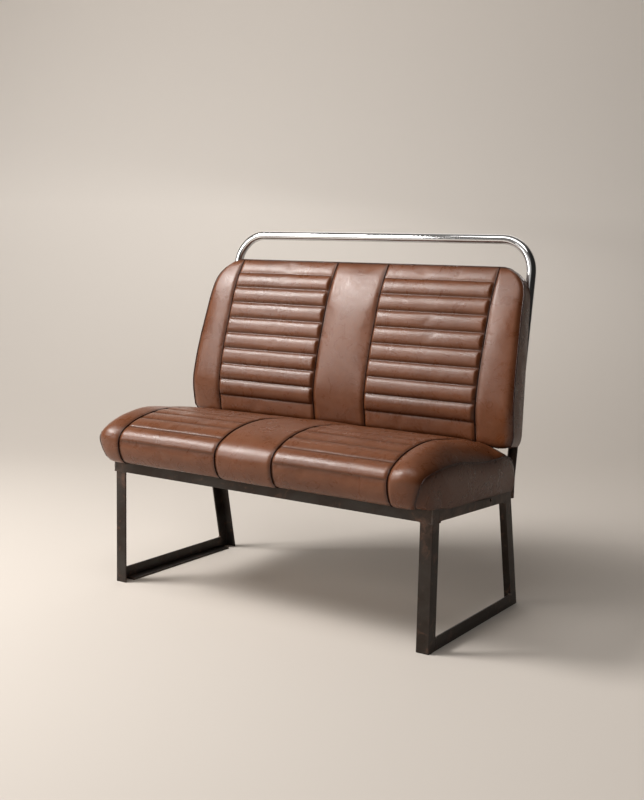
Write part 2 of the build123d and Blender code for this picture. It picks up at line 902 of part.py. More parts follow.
with BuildPart() as back_tee_nuts:
    with BuildSketch(cushion_plane(board_rear - tee_nut_length)):
        with Locations(*[(x, rise - back_rise) for x, rise in bolt_places]):
            Circle(tee_nut_barrel_diameter / 2)
            Circle((back_bolt_diameter + hole_play) / 2, mode=Mode.SUBTRACT)
    extrude(amount=tee_nut_length)
    with BuildSketch(cushion_plane(board_rear - tee_nut_flange_thickness)):
        with Locations(*[(x, rise - back_rise) for x, rise in bolt_places]):
            Circle(tee_nut_flange_diameter / 2)
            Circle(tee_nut_barrel_diameter / 2, mode=Mode.SUBTRACT)
    extrude(amount=tee_nut_flange_thickness)
save(back_tee_nuts, "back_tee_nuts")
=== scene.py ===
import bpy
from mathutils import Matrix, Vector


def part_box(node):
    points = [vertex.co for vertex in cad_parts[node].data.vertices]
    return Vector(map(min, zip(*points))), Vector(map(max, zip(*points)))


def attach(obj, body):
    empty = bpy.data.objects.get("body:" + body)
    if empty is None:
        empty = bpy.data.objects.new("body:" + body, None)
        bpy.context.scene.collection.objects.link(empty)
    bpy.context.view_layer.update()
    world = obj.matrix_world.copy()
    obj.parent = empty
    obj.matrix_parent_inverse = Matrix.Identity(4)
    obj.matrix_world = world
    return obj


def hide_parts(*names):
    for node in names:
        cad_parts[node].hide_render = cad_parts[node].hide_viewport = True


bl_info = {
    "name": "Banquette",
    "version": (1, 0, 0),
    "blender": (4, 5, 0),
    "location": "3D View > Sidebar > Banquette",
    "description": "A two-place banquette: channelled leather cushions, welded steel base, chrome grab rail",
    "category": "Object",
}

from math import atan2, cos, pi, radians, sin, sqrt

import bmesh
import bpy
from bpy.props import FloatProperty, FloatVectorProperty, IntProperty, PointerProperty
from mathutils import Matrix, Vector, noise

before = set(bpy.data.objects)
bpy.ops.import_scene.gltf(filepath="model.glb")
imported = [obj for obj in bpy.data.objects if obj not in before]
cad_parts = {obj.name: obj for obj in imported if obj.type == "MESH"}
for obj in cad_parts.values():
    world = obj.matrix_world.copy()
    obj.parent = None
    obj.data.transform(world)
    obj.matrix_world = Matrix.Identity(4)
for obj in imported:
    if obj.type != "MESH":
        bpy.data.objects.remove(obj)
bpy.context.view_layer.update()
BODY = "root"
MM = 0.001

# Places that the cushions follow, in millimetres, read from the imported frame
LEG_LOW, LEG_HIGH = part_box("right_front_leg")
LEG_FRONT = LEG_LOW[1] / MM
BASE_HALF = LEG_HIGH[0] / MM
FRAME_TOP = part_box("front_rail")[1][2] / MM
TUBE_LOW, TUBE_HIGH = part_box("right_back_post")
POST_X = (TUBE_LOW[0] + TUBE_HIGH[0]) / 2 / MM


# Settings in the panel
def length(name, default, description):
    return FloatProperty(name=name, default=default, unit="LENGTH", precision=4, description=description)


def colour(name, default, description):
    return FloatVectorProperty(
        name=name, default=default, size=4, subtype="COLOR", min=0, max=1, description=description
    )


def power(name, default, description):
    return FloatProperty(name=name, default=default, unit="POWER", description=description)


class BanquetteCushions(bpy.types.PropertyGroup):
    seat_flutes: IntProperty(name="Seat flutes", default=9, description="Sewn channels across the seat")
    back_flutes: IntProperty(name="Back flutes", default=8, description="Sewn channels across the back")
    seat_flute_rise: length("Seat flute rise", 0.0036, "Height of a seat flute over its seams")
    back_flute_rise: length("Back flute rise", 0.0085, "Height of a back flute over its seams")
    wadding: length("Wadding", 0.003, "Rise of the plain panels over the seams")
    welt_radius: length("Welt radius", 0.0015, "Radius of the piping")
    stitch_pitch: length("Stitch pitch", 0.0048, "Distance from stitch to stitch")
    stitch_radius: length("Thread radius", 0.00042, "Radius of the thread")
    mesh_pitch: length("Mesh pitch", 0.0062, "Distance between the cover's mesh lines")
    hide_thickness: length("Hide thickness", 0.002, "Thickness of the leather at its hems")
    swell_cap: length("Swell cap", 0.006, "Furthest that the padding may push a point")


class BanquetteFinishes(bpy.types.PropertyGroup):
    tan: colour("Tan", (0.140, 0.044, 0.0152, 1), "Leather over most of a panel")
    # Painted shade: this colour darkens the leather along seams and in creases, over its patina
    patina_and_crease_shade: colour("Patina and crease shade", (0.058, 0.0165, 0.0046, 1), "Leather along seams and in creases")
    bloom: colour("Bloom", (0.165, 0.064, 0.030, 1), "Leather where it is rubbed pale")
    piping: colour("Piping", (0.012, 0.004, 0.003, 1), "Dark welts")
    thread: colour("Thread", (0.260, 0.150, 0.085, 1), "Stitching")
    scale: colour("Mill scale", (0.034, 0.025, 0.020, 1), "Steel under wax")
    bead: colour("Weld", (0.130, 0.118, 0.108, 1), "Bare weld metal")
    rust: colour("Rust", (0.120, 0.048, 0.022, 1), "Rust in patches and at the welds")
    blue: colour("Blue scale", (0.056, 0.050, 0.045, 1), "Blue-grey scale")
    chrome: colour("Chrome", (0.66, 0.66, 0.67, 1), "Chrome plate")
    plywood: colour("Plywood", (0.42, 0.27, 0.14, 1), "Seat board from below")


class BanquetteStage(bpy.types.PropertyGroup):
    floor: colour("Floor", (0.560, 0.515, 0.470, 1), "Floor under the banquette")
    wall: colour("Wall", (0.93, 0.872, 0.812, 1), "Backdrop behind it")
    key_power: power("Key light", 142, "Power of the large soft light")
    fill_power: power("Fill light", 6, "Power of the front light")
    rear_power: power("Rear light", 16, "Power of the light behind")
    sheen_power: power("Sheen light", 40, "Power of the low softbox")
    top_power: power("Top light", 38, "Power of the light above")
    world: FloatProperty(name="World", default=0.26, description="Strength of the even light")


def settings(name):
    return getattr(bpy.context.scene, "banquette_" + name)


# Joints of tangent arcs, in millimetres: the seat's as (behind the legs' front, height over the
# frame's front), the back's as (rise over the cushion's foot, depth in front of its rear).
SEAT_DOWN = ((-72, 57), (-67, 30), (-58, 13), (-47, 5.5), (-19, 3.5))
SEAT_UP = (
    (-72, 57), (-71, 66), (-52, 92), (8, 116), (143, 126), (342, 96), (383, 81), (400, 56), (400.6, -18.5),
)
SEAT_END_DOWN = ((-60, 55), (-57, 29), (-50, 13), (-41, 6), (-19, 3.5))
SEAT_END_UP = (
    (-60, 55), (-59, 63), (-43, 80), (3, 89.5), (148, 84.5), (315, 72.5), (383, 58), (400, 40),
    (400.6, -18.5),
)
SEAT_SEAM_JOINTS = (5, 9)
SEAT_REAR_JOINT = 11
BACK_DOWN = ((95, 101.5), (41, 92), (8, 81), (-2, 70))
BACK_UP = ((95, 101.5), (214, 93), (303, 80), (388, 58), (424, 42), (431, 38))
BACK_SEAM_JOINTS = (2, 6)
ARC_STEP = 0.6
CROWDING = 0.6
CHANNEL_END = 9
CROWN_END = 6


def arcs(points, tangent):
    """Samples of a chain of tangent arcs: (joint number, place, direction of travel)."""
    heading = Vector(tangent).normalized()
    samples = [(0.0, Vector(points[0]), heading)]
    for joint, (start, end) in enumerate(zip(points, points[1:])):
        start, chord = Vector(start), Vector(end) - Vector(start)
        side = Vector((-heading.y, heading.x))
        turn = 2 * atan2(side.dot(chord), heading.dot(chord))
        steps = max(2, round(chord.length / ARC_STEP))
        for step in range(1, steps + 1):
            share = step / steps
            angle = turn * share
            if abs(turn) < 1e-4:
                place = start + chord * share
            else:
                radius = chord.length / 2 / sin(turn / 2)
                place = start + heading * (radius * sin(angle)) + side * (radius * (1 - cos(angle)))
            samples.append((joint + share, place, (heading * cos(angle) + side * sin(angle)).normalized()))
        heading = samples[-1][2]
    return samples


class Profile:
    """A cushion's profile, as places and outward normals along its length in millimetres."""

    def __init__(self, down, up, tangent):
        lower = arcs(down, (-tangent[0], -tangent[1]))
        last = len(down) - 1
        self.samples = [(last - joint, place, -heading) for joint, place, heading in reversed(lower)]
        self.samples += [(last + joint, place, heading) for joint, place, heading in arcs(up, tangent)[1:]]
        self.runs = [0.0]
        for before, after in zip(self.samples, self.samples[1:]):
            self.runs.append(self.runs[-1] + (after[1] - before[1]).length)
        self.length = self.runs[-1]

    def _between(self, keys, key):
        low, high = 0, len(keys) - 1
        while high - low > 1:
            middle = (low + high) // 2
            if keys[middle] <= key:
                low = middle
            else:
                high = middle
        span = keys[high] - keys[low]
        share = (key - keys[low]) / span if span else 0
        a, b = self.samples[low], self.samples[high]
        heading = a[2].lerp(b[2], share).normalized()
        return a[0] + (b[0] - a[0]) * share, a[1].lerp(b[1], share), Vector((-heading.y, heading.x))

    def at(self, run):
        """(joint number, place, outward normal) at a run along the profile."""
        return self._between(self.runs, run)

    def at_joint(self, joint):
        return self._between([sample[0] for sample in self.samples], joint)

    def run_of(self, joint):
        for run, sample in zip(self.runs, self.samples):
            if sample[0] >= joint - 1e-6:
                return run
        return self.length


def smooth(value):
    value = min(max(value, 0), 1)
    return value * value * (3 - 2 * value)


def arch_at(share, power):
    """Rise of a sewn channel at a share of its width: 0 at its seams, 1 at its crown."""
    return sqrt(max(0.0, 1 - (2 * share - 1) ** 2)) ** power


def on_mark(value, marks):
    return any(abs(value - mark) < 0.01 for mark in marks)


def stations(marks, pitch, least=2):
    """Places along a line that pass every mark, crowded towards the marks."""
    places = [marks[0]]
    for low, high in zip(marks, marks[1:]):
        count = max(least, round((high - low) / pitch))
        for step in range(1, count + 1):
            share = step / count
            places.append(low + (high - low) * (share - CROWDING * sin(2 * pi * share) / (2 * pi)))
    return places


def pick(table, key):
    """Straight-line look-up in a table of (key, value) pairs."""
    for (low, a), (high, b) in zip(table, table[1:]):
        if key <= high:
            return a + (b - a) * max(0, (key - low) / (high - low))
    return table[-1][1]


# Meshes
def finish_mesh(name, bm, material):
    """Makes the object from a bmesh, with its faces turned outwards."""
    bmesh.ops.recalc_face_normals(bm, faces=bm.faces)
    mesh = bpy.data.meshes.new(name)
    bm.to_mesh(mesh)
    bm.free()
    mesh.polygons.foreach_set("use_smooth", [True] * len(mesh.polygons))
    obj = bpy.data.objects.new(name, mesh)
    bpy.context.scene.collection.objects.link(obj)
    mesh.materials.append(material)
    return obj


def seat_on_frame(obj, slot, *nodes):
    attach(obj, BODY)
    if nodes:
        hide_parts(*nodes)


def subdivide(obj):
    modifier = obj.modifiers.new("Smooth cover", "SUBSURF")
    modifier.levels = modifier.render_levels = 1


def extruded(bm, edges):
    """Extrudes edges and returns the new points."""
    made = bmesh.ops.extrude_edge_only(bm, edges=edges)["geom"]
    return [item for item in made if isinstance(item, bmesh.types.BMVert)]


def rim(bm):
    return [edge for edge in bm.edges if edge.is_boundary]


PIPING_SIDES = 8


def ring_edges(ring):
    near = {edge for vertex in ring for edge in vertex.link_edges}
    return [edge for edge in near if all(vertex in ring for vertex in edge.verts)]


def sweep(bm, places, radius, closed=False):
    """A round cord drawn through the places."""
    count = len(places)
    frames = []
    up = Vector((0.31, 0.17, 0.93))
    for index, place in enumerate(places):
        before = places[index - 1] if index or closed else place
        after = places[(index + 1) % count] if index < count - 1 or closed else place
        ahead = (after - before).normalized()
        side = up.cross(ahead).normalized()
        up = ahead.cross(side)
        frames.append(Matrix.Translation(place) @ Matrix((side, up, ahead)).transposed().to_4x4())
    ring = bmesh.ops.create_circle(bm, segments=PIPING_SIDES, radius=radius, matrix=frames[0])["verts"]
    rings = [ring]
    for last, here in zip(frames, frames[1:]):
        ring = extruded(bm, ring_edges(ring))
        bmesh.ops.transform(bm, matrix=here @ last.inverted(), verts=ring)
        rings.append(ring)
    loops = [ring_edges(rings[0]), ring_edges(rings[-1])]
    if closed:
        bmesh.ops.bridge_loops(bm, edges=loops[0] + loops[1])
    else:
        for loop in loops:
            bmesh.ops.edgeloop_fill(bm, edges=loop)


CLOTH_FRAMES = 20
CLOTH_STIFFNESS = 40
CLOTH_SHEAR = 20
CLOTH_BENDING = 6.0
CLOTH_MASS = 0.4
PADDING_PRESSURE = 2.5
LEATHER_GROWTH = 0.0015


def inflate(obj, held, cap):
    """Swells a cover between its seams by cloth simulation and keeps the result in its mesh."""
    group = obj.vertex_groups.new(name="Seams")
    group.add(held, 1.0, "REPLACE")
    modifier = obj.modifiers.new("Padding", "CLOTH")
    cloth = modifier.settings
    cloth.vertex_group_mass = group.name
    cloth.quality = 4
    cloth.mass = CLOTH_MASS
    cloth.tension_stiffness = cloth.compression_stiffness = CLOTH_STIFFNESS
    cloth.shear_stiffness = CLOTH_SHEAR
    cloth.bending_stiffness = CLOTH_BENDING
    cloth.use_pressure = True
    cloth.uniform_pressure_force = PADDING_PRESSURE
    cloth.shrink_min = -LEATHER_GROWTH
    cloth.effector_weights.gravity = 0
    modifier.collision_settings.use_collision = False
    modifier.point_cache.frame_start = 1
    modifier.point_cache.frame_end = CLOTH_FRAMES
    scene = bpy.context.scene
    before = [vertex.co.copy() for vertex in obj.data.vertices]
    for step in range(1, CLOTH_FRAMES + 1):
        scene.frame_set(step)
    swollen = obj.evaluated_get(bpy.context.evaluated_depsgraph_get()).to_mesh()
    after = [vertex.co.copy() for vertex in swollen.vertices]
    obj.evaluated_get(bpy.context.evaluated_depsgraph_get()).to_mesh_clear()
    obj.modifiers.remove(modifier)
    obj.vertex_groups.remove(group)
    scene.frame_set(1)
    for vertex, old, new in zip(obj.data.vertices, before, after):
        move = new - old
        if move.length > cap:
            move *= cap / move.length
        vertex.co = old + move


# Materials
def node_group(name, colours, number, default, outputs):
    """A shader group with its sockets: (tree, given values, results, place on the object)."""
    tree = bpy.data.node_groups.new(name, "ShaderNodeTree")
    sockets = [(title, "INPUT", "NodeSocketColor") for title in colours]
    sockets += [(number, "INPUT", "NodeSocketFloat"), ("Color", "OUTPUT", "NodeSocketColor")]
    sockets += [(title, "OUTPUT", "NodeSocketFloat") for title in outputs]
    for title, direction, kind in sockets:
        made = tree.interface.new_socket(name=title, in_out=direction, socket_type=kind)
        if title == number:
            made.default_value = default
    given = tree.nodes.new("NodeGroupInput").outputs
    result = tree.nodes.new("NodeGroupOutput").inputs
    return tree, given, result, tree.nodes.new("ShaderNodeTexCoord").outputs["Object"]


def mix(tree, factor, a, b):
    """Mixes two colours, each a socket or a value."""
    node = tree.nodes.new("ShaderNodeMix")
    node.data_type = "RGBA"
    for name, value in (("Factor_Float", factor), ("A_Color", a), ("B_Color", b)):
        port = next(s for s in node.inputs if s.identifier == name)
        if hasattr(value, "is_output"):
            tree.links.new(value, port)
        else:
            port.default_value = value
    return next(s for s in node.outputs if s.identifier == "Result_Color")


def calc(tree, operation, a, b=0.0, clamp=False):
    node = tree.nodes.new("ShaderNodeMath")
    node.operation = operation
    node.use_clamp = clamp
    for index, value in enumerate((a, b)):
        if hasattr(value, "is_output"):
            tree.links.new(value, node.inputs[index])
        else:
            node.inputs[index].default_value = value
    return node.outputs[0]


def times(tree, a, b, clamp=False):
    return calc(tree, "MULTIPLY", a, b, clamp)


def remap(tree, value, low, high, to_low=0.0, to_high=1.0):
    node = tree.nodes.new("ShaderNodeMapRange")
    tree.links.new(value, node.inputs["Value"])
    node.inputs["From Min"].default_value = low
    node.inputs["From Max"].default_value = high
    node.inputs["To Min"].default_value = to_low
    node.inputs["To Max"].default_value = to_high
    return node.outputs[0]


def stretched(tree, vector, scale):
    node = tree.nodes.new("ShaderNodeMapping")
    tree.links.new(vector, node.inputs["Vector"])
    node.inputs["Scale"].default_value = scale
    return node.outputs[0]


def noise_at(tree, vector, scale, detail=4.0, rough=0.55, distortion=0.0):
    node = tree.nodes.new("ShaderNodeTexNoise")
    tree.links.new(vector, node.inputs["Vector"])
    node.inputs["Scale"].default_value = scale
    node.inputs["Detail"].default_value = detail
    node.inputs["Roughness"].default_value = rough
    node.inputs["Distortion"].default_value = distortion
    return node.outputs["Fac"]


def cells_at(tree, vector, scale):
    node = tree.nodes.new("ShaderNodeTexVoronoi")
    tree.links.new(vector, node.inputs["Vector"])
    node.feature = "DISTANCE_TO_EDGE"
    node.inputs["Scale"].default_value = scale
    return node.outputs["Distance"]


def leather_group():
    """Waxed leather: mottled tan, darkened in the creases by patina and painted shade, and rubbed pale on the
    crowns.
    """
    tree, given, result, place = node_group(
        "Waxed leather", ("Tan", "Patina and crease shade", "Bloom"), "Crown", 1.0, ("Roughness", "Height")
    )
    cloud = noise_at(tree, place, 5.0, 5, 0.6, 0.4)
    mottle = noise_at(tree, place, 26.0, 6, 0.65, 0.8)
    fleck = noise_at(tree, place, 110.0, 4, 0.6)
    scuff = noise_at(tree, stretched(tree, place, (330, 110, 24)), 1.0, 3, 0.6, 0.25)
    # Painted shade: where the crown mask is low, along seams, in creases and on the boxing, the tan gives way
    # to the darker patina and shade colour
    crown = times(tree, given["Crown"], remap(tree, cloud, 0.30, 0.70, 0.55, 1.15), True)
    base = mix(tree, crown, given["Patina and crease shade"], given["Tan"])
    rubbed = times(tree, crown, remap(tree, mottle, 0.42, 0.72))
    base = mix(tree, times(tree, rubbed, 0.75), base, given["Bloom"])
    base = mix(tree, remap(tree, fleck, 0.35, 0.75, 0.0, 0.22), base, given["Patina and crease shade"])
    scuffed = times(tree, remap(tree, scuff, 0.58, 0.70), remap(tree, cloud, 0.42, 0.6))
    scuffed = times(tree, scuffed, remap(tree, given["Crown"], 0.6, 0.9))
    base = mix(tree, times(tree, scuffed, 0.26), base, given["Patina and crease shade"])
    tree.links.new(base, result["Color"])
    worn = times(tree, scuffed, 0.12)
    rough = calc(tree, "ADD", remap(tree, mottle, 0.3, 0.7, 0.23, 0.37), worn)
    tree.links.new(rough, result["Roughness"])
    ridge = noise_at(tree, stretched(tree, place, (14, 22, 34)), 1.0, 3, 0.55, 1.4)
    ridge = calc(tree, "ABSOLUTE", calc(tree, "SUBTRACT", ridge, 0.5))
    crease = times(tree, remap(tree, ridge, 0.0, 0.022), remap(tree, cloud, 0.62, 0.42))
    warp = tree.nodes.new("ShaderNodeVectorMath")
    warp.operation = "SCALE"
    bend = tree.nodes.new("ShaderNodeTexNoise")
    bend.inputs["Scale"].default_value = 40.0
    tree.links.new(place, bend.inputs["Vector"])
    tree.links.new(bend.outputs["Color"], warp.inputs[0])
    warp.inputs["Scale"].default_value = 0.012
    moved = tree.nodes.new("ShaderNodeVectorMath")
    moved.operation = "ADD"
    tree.links.new(place, moved.inputs[0])
    tree.links.new(warp.outputs[0], moved.inputs[1])
    grain = remap(tree, cells_at(tree, moved.outputs[0], 950.0), 0.0, 0.25)
    fold = remap(tree, cells_at(tree, moved.outputs[0], 95.0), 0.0, 0.10)
    height = times(tree, grain, 0.25)
    for layer, weight in ((fold, 0.12), (fleck, 0.6), (crease, 0.3), (scuffed, -0.3), (mottle, 1.6)):
        height = calc(tree, "ADD", height, times(tree, layer, weight))
    tree.links.new(height, result["Height"])
    return tree


JOINT_DROP = 34
BURN_REACH, BURN_CORE = 45, 5
BURN_INNER, BURN_OUTER = 60, 20


def steel_group():
    """Hot-rolled steel under clear wax: dark scale, blue-grey clouds, rust in patches."""
    tree, given, result, place = node_group(
        "Mill scale", ("Scale", "Blue", "Rust"), "Heat", 0.0, ("Roughness", "Metal", "Height")
    )
    cloud = noise_at(tree, place, 9.0, 6, 0.62, 0.5)
    patch = noise_at(tree, place, 31.0, 6, 0.7, 0.9)
    pits = noise_at(tree, place, 420.0, 3, 0.6)
    base = mix(tree, remap(tree, cloud, 0.42, 0.66), given["Scale"], given["Blue"])
    parts = tree.nodes.new("ShaderNodeSeparateXYZ")
    tree.links.new(place, parts.inputs[0])
    above = calc(tree, "ABSOLUTE", calc(tree, "SUBTRACT", parts.outputs["Z"], (FRAME_TOP - JOINT_DROP) * MM))
    outward = calc(tree, "ABSOLUTE", parts.outputs["X"])
    level = remap(tree, above, BURN_REACH * MM, BURN_CORE * MM)
    corner = remap(tree, outward, (BASE_HALF - BURN_INNER) * MM, (BASE_HALF - BURN_OUTER) * MM)
    burnt = times(tree, level, corner)
    burnt = times(tree, burnt, remap(tree, patch, 0.38, 0.60))
    base = mix(tree, times(tree, burnt, 0.8), base, given["Blue"])
    heat = calc(tree, "MAXIMUM", given["Heat"], burnt)
    rusted = calc(tree, "ADD", remap(tree, patch, 0.56, 0.70), times(tree, heat, 0.8), True)
    rusted = times(tree, rusted, remap(tree, pits, 0.3, 0.7, 0.5, 1.0))
    base = mix(tree, times(tree, rusted, 0.75), base, given["Rust"])
    tree.links.new(base, result["Color"])
    tree.links.new(remap(tree, cloud, 0.3, 0.7, 0.34, 0.52), result["Roughness"])
    tree.links.new(remap(tree, rusted, 0.0, 1.0, 0.75, 0.15), result["Metal"])
    tree.links.new(calc(tree, "ADD", pits, times(tree, patch, 1.5)), result["Height"])
    return tree


def material(name):
    made = bpy.data.materials.new(name)
    made.use_nodes = True
    tree = made.node_tree
    return made, tree, tree.nodes["Principled BSDF"]


def bump(tree, shader, height, strength, distance):
    node = tree.nodes.new("ShaderNodeBump")
    node.inputs["Strength"].default_value = strength
    node.inputs["Distance"].default_value = distance
    tree.links.new(height, node.inputs["Height"])
    tree.links.new(node.outputs["Normal"], shader.inputs["Normal"])


def leather_material(name, group, tan, patina_and_crease_shade, bloom, gloss, crown=None):
    made, tree, shader = material(name)
    hide = tree.nodes.new("ShaderNodeGroup")
    hide.node_tree = group
    for port, value in (("Tan", tan), ("Patina and crease shade", patina_and_crease_shade), ("Bloom", bloom)):
        hide.inputs[port].default_value = value
    if crown:
        mask = tree.nodes.new("ShaderNodeAttribute")
        mask.attribute_name = crown
        tree.links.new(mask.outputs["Fac"], hide.inputs["Crown"])
    tree.links.new(hide.outputs["Color"], shader.inputs["Base Color"])
    tree.links.new(hide.outputs["Roughness"], shader.inputs["Roughness"])
    shader.inputs["Specular IOR Level"].default_value = gloss
    bump(tree, shader, hide.outputs["Height"], 0.35, 0.0006)
    return made


def steel_material(name, group, heat, scale):
    finishes = settings("finishes")
    made, tree, shader = material(name)
    steel = tree.nodes.new("ShaderNodeGroup")
    steel.node_tree = group
    for port, value in (("Scale", scale), ("Blue", finishes.blue), ("Rust", finishes.rust)):
        steel.inputs[port].default_value = value
    steel.inputs["Heat"].default_value = heat
    tree.links.new(steel.outputs["Color"], shader.inputs["Base Color"])
    tree.links.new(steel.outputs["Roughness"], shader.inputs["Roughness"])
    tree.links.new(steel.outputs["Metal"], shader.inputs["Metallic"])
    bump(tree, shader, steel.outputs["Height"], 0.25, 0.0005)
    return made


def plain_material(name, tone, rough, metal, grain=600.0, depth=0.0002):
    """A smooth finish with a faint unevenness."""
    made, tree, shader = material(name)
    place = tree.nodes.new("ShaderNodeTexCoord").outputs["Object"]
    fine = noise_at(tree, place, grain, 3)
    cloud = noise_at(tree, place, 14.0, 4)
    dark = tuple(channel * 0.82 for channel in tone[:3]) + (1,)
    tree.links.new(mix(tree, cloud, tone, dark), shader.inputs["Base Color"])
    tree.links.new(remap(tree, cloud, 0.3, 0.7, rough * 0.8, rough * 1.3), shader.inputs["Roughness"])
    shader.inputs["Metallic"].default_value = metal
    bump(tree, shader, fine, 0.1, depth)
    return made


def plywood_material(name, tone):
    made, tree, shader = material(name)
    place = tree.nodes.new("ShaderNodeTexCoord").outputs["Object"]
    figure = noise_at(tree, stretched(tree, place, (2.5, 38, 38)), 1.0, 6, 0.6, 1.5)
    pores = noise_at(tree, stretched(tree, place, (30, 900, 900)), 1.0, 3, 0.6)
    dark = tuple(channel * 0.62 for channel in tone[:3]) + (1,)
    base = mix(tree, remap(tree, figure, 0.35, 0.65), tone, dark)
    base = mix(tree, remap(tree, pores, 0.55, 0.75, 0.0, 0.35), base, dark)
    tree.links.new(base, shader.inputs["Base Color"])
    shader.inputs["Roughness"].default_value = 0.62
    bump(tree, shader, pores, 0.2, 0.0003)
    return made


# The seat, in millimetres from the legs' front and the frame's top
SEAT_SEAMS = (83.0, 392.0)
SEAT_END = 480.0
SEAT_END_BY_HEIGHT = (
    (-1, 443), (3.5, 444), (7.5, 447), (28, 456), (55, 466), (80, 473), (89, 479.5), (91, 480),
)
SEAT_END_BY_DEPTH = ((0, 480), (315, 480), (391, 476), (401, 475))
SEAT_HEM = (
    (-19.4, 1.0, 471), (2, -1.5, 471.6), (30, -4, 471.8), (52, -8, 471.8),
    (75, -12.6, 472), (164, -16.4, 474), (325, -22.7, 474), (401, -27.7, 473.5),
)
SEAT_HEM_CORNER = (445, 471)
SIDE_ROWS = 12
SEAT_SEAM_ROLL = 11
SEAT_END_ROLL = 12
BOARD_TOP = 12.6
FRAME_SLOPE = 20 / 412


def seat_profiles():
    plain = Profile(SEAT_DOWN, SEAT_UP, (0, 1))
    end = Profile(SEAT_END_DOWN, SEAT_END_UP, (0, 1))
    return plain, end


def world_point(x, y, height):
    """From the seat's own places to metres in the frame."""
    return Vector((x, LEG_FRONT + y, FRAME_TOP + height)) * MM


END_FULLNESS = 8
FRONT_DROP_POWER = 3.6
REAR_DROP_POWER_LOSS = 2.1


class SeatShape:
    """The seat cover as one cloth: rows run from the front hem over the nose to the rear hem."""

    def __init__(self):
        cushions = settings("cushions")
        self.plain, self.end = seat_profiles()
        self.pitch = cushions.mesh_pitch / MM
        self.rise = cushions.seat_flute_rise / MM
        self.wadding = cushions.wadding / MM
        first, last = (self.plain.run_of(joint) for joint in SEAT_SEAM_JOINTS)
        count = cushions.seat_flutes
        self.seams = [first + (last - first) * index / count for index in range(count + 1)]
        self.marks = [0.0] + self.seams + [self.plain.run_of(SEAT_REAR_JOINT), self.plain.length]
        self.rows = stations(self.marks, self.pitch, 6)
        across = [-SEAT_END, -SEAT_SEAMS[1], -SEAT_SEAMS[0], SEAT_SEAMS[0], SEAT_SEAMS[1], SEAT_END]
        self.columns = stations(across, self.pitch)
        self.at_row = [self.plain.at(run) for run in self.rows]
        self.at_end = [self.end.at_joint(row[0]) for row in self.at_row]
        self.ends = [self.end_of(sample[1]) for sample in self.at_end]

    def end_of(self, place):
        """How far out the end's edge stands at a place of the end profile."""
        if place.x < 0 and place.y < SEAT_END_BY_HEIGHT[-1][0]:
            return pick(SEAT_END_BY_HEIGHT, place.y)
        return pick(SEAT_END_BY_DEPTH, place.x)

    def lift(self, row, x):
        """Rise of the cover over the seams' level, in millimetres, and how far it is from a crease, which
        sets how much crease shade is painted there.
        """
        run = self.rows[row]
        near = min(abs(abs(x) - seam) for seam in SEAT_SEAMS)
        edge = smooth(near / SEAT_SEAM_ROLL)
        if abs(x) > SEAT_SEAMS[1]:
            edge = min(edge, smooth((SEAT_END - abs(x)) / SEAT_END_ROLL))
        fluted = SEAT_SEAMS[0] < abs(x) < SEAT_SEAMS[1]
        if fluted and self.seams[0] <= run <= self.seams[-1]:
            pitch = self.seams[1] - self.seams[0]
            share = ((run - self.seams[0]) / pitch) % 1.0
            arch = arch_at(share, 0.85)
            return self.rise * arch * smooth(near / CHANNEL_END) + 0.3 * edge, arch * smooth(near / CROWN_END)
        along = 1.0
        if fluted:
            along = 0.35 * smooth(min(abs(run - self.seams[0]), abs(run - self.seams[-1])) / 16)
        return self.wadding * edge * along, edge * (0.35 + 0.65 * min(1.0, along / 0.35))

    def point(self, row, x, lift):
        place, normal = self.at_row[row][1:]
        reach = abs(x)
        if reach > SEAT_SEAMS[1]:
            share = (reach - SEAT_SEAMS[1]) / (SEAT_END - SEAT_SEAMS[1])
            front = smooth((170 - place.x) / 120) * smooth((place.y - 50) / 30)
            lift += END_FULLNESS * sin(pi * share) ** 1.3 * front
            drop = share ** (FRONT_DROP_POWER - REAR_DROP_POWER_LOSS * smooth((place.x - 210) / 130))
            far = self.at_end[row]
            place = place.lerp(far[1], drop)
            normal = normal.lerp(far[2], drop).normalized()
            reach = SEAT_SEAMS[1] + share * (self.ends[row] - SEAT_SEAMS[1])
        swell = 2.0 * (1 - (reach / SEAT_END) ** 4) * smooth(1 - abs(place.x - 362) / 45) * max(0.0, normal.y)
        outward = max(0.0, reach - SEAT_SEAMS[0]) / (SEAT_END - SEAT_SEAMS[0])
        sag = 2.0 * outward ** 2 * max(0.0, normal.y) - swell
        place = place + normal * lift
        return world_point(reach if x > 0 else -reach, place.x, place.y - sag)

    def hem(self, row):
        """The hem's place beside a row: (distance behind the legs' front, height, reach)."""
        last = len(self.rows) - 1
        share = row / last
        nose = self.plain.run_of(3) / self.plain.length
        rear = self.plain.run_of(SEAT_REAR_JOINT) / self.plain.length
        front, rear_share = 0.06, 0.97
        if share < front:
            low, high = SEAT_HEM_CORNER
            return SEAT_HEM[0][0], SEAT_HEM[0][1], low + (high - low) * share / front
        travel = (share - front) / (nose - front) * 0.05
        if share > nose:
            travel = 0.05 + (rear_share - 0.05) * (share - nose) / (rear - nose)
        if share > rear:
            travel = rear_share + (1 - rear_share) * (share - rear) / (1 - rear)
        y = SEAT_HEM[0][0] + 420.4 * travel
        return y, pick([(a, b) for a, b, c in SEAT_HEM], y), pick([(a, c) for a, b, c in SEAT_HEM], y)


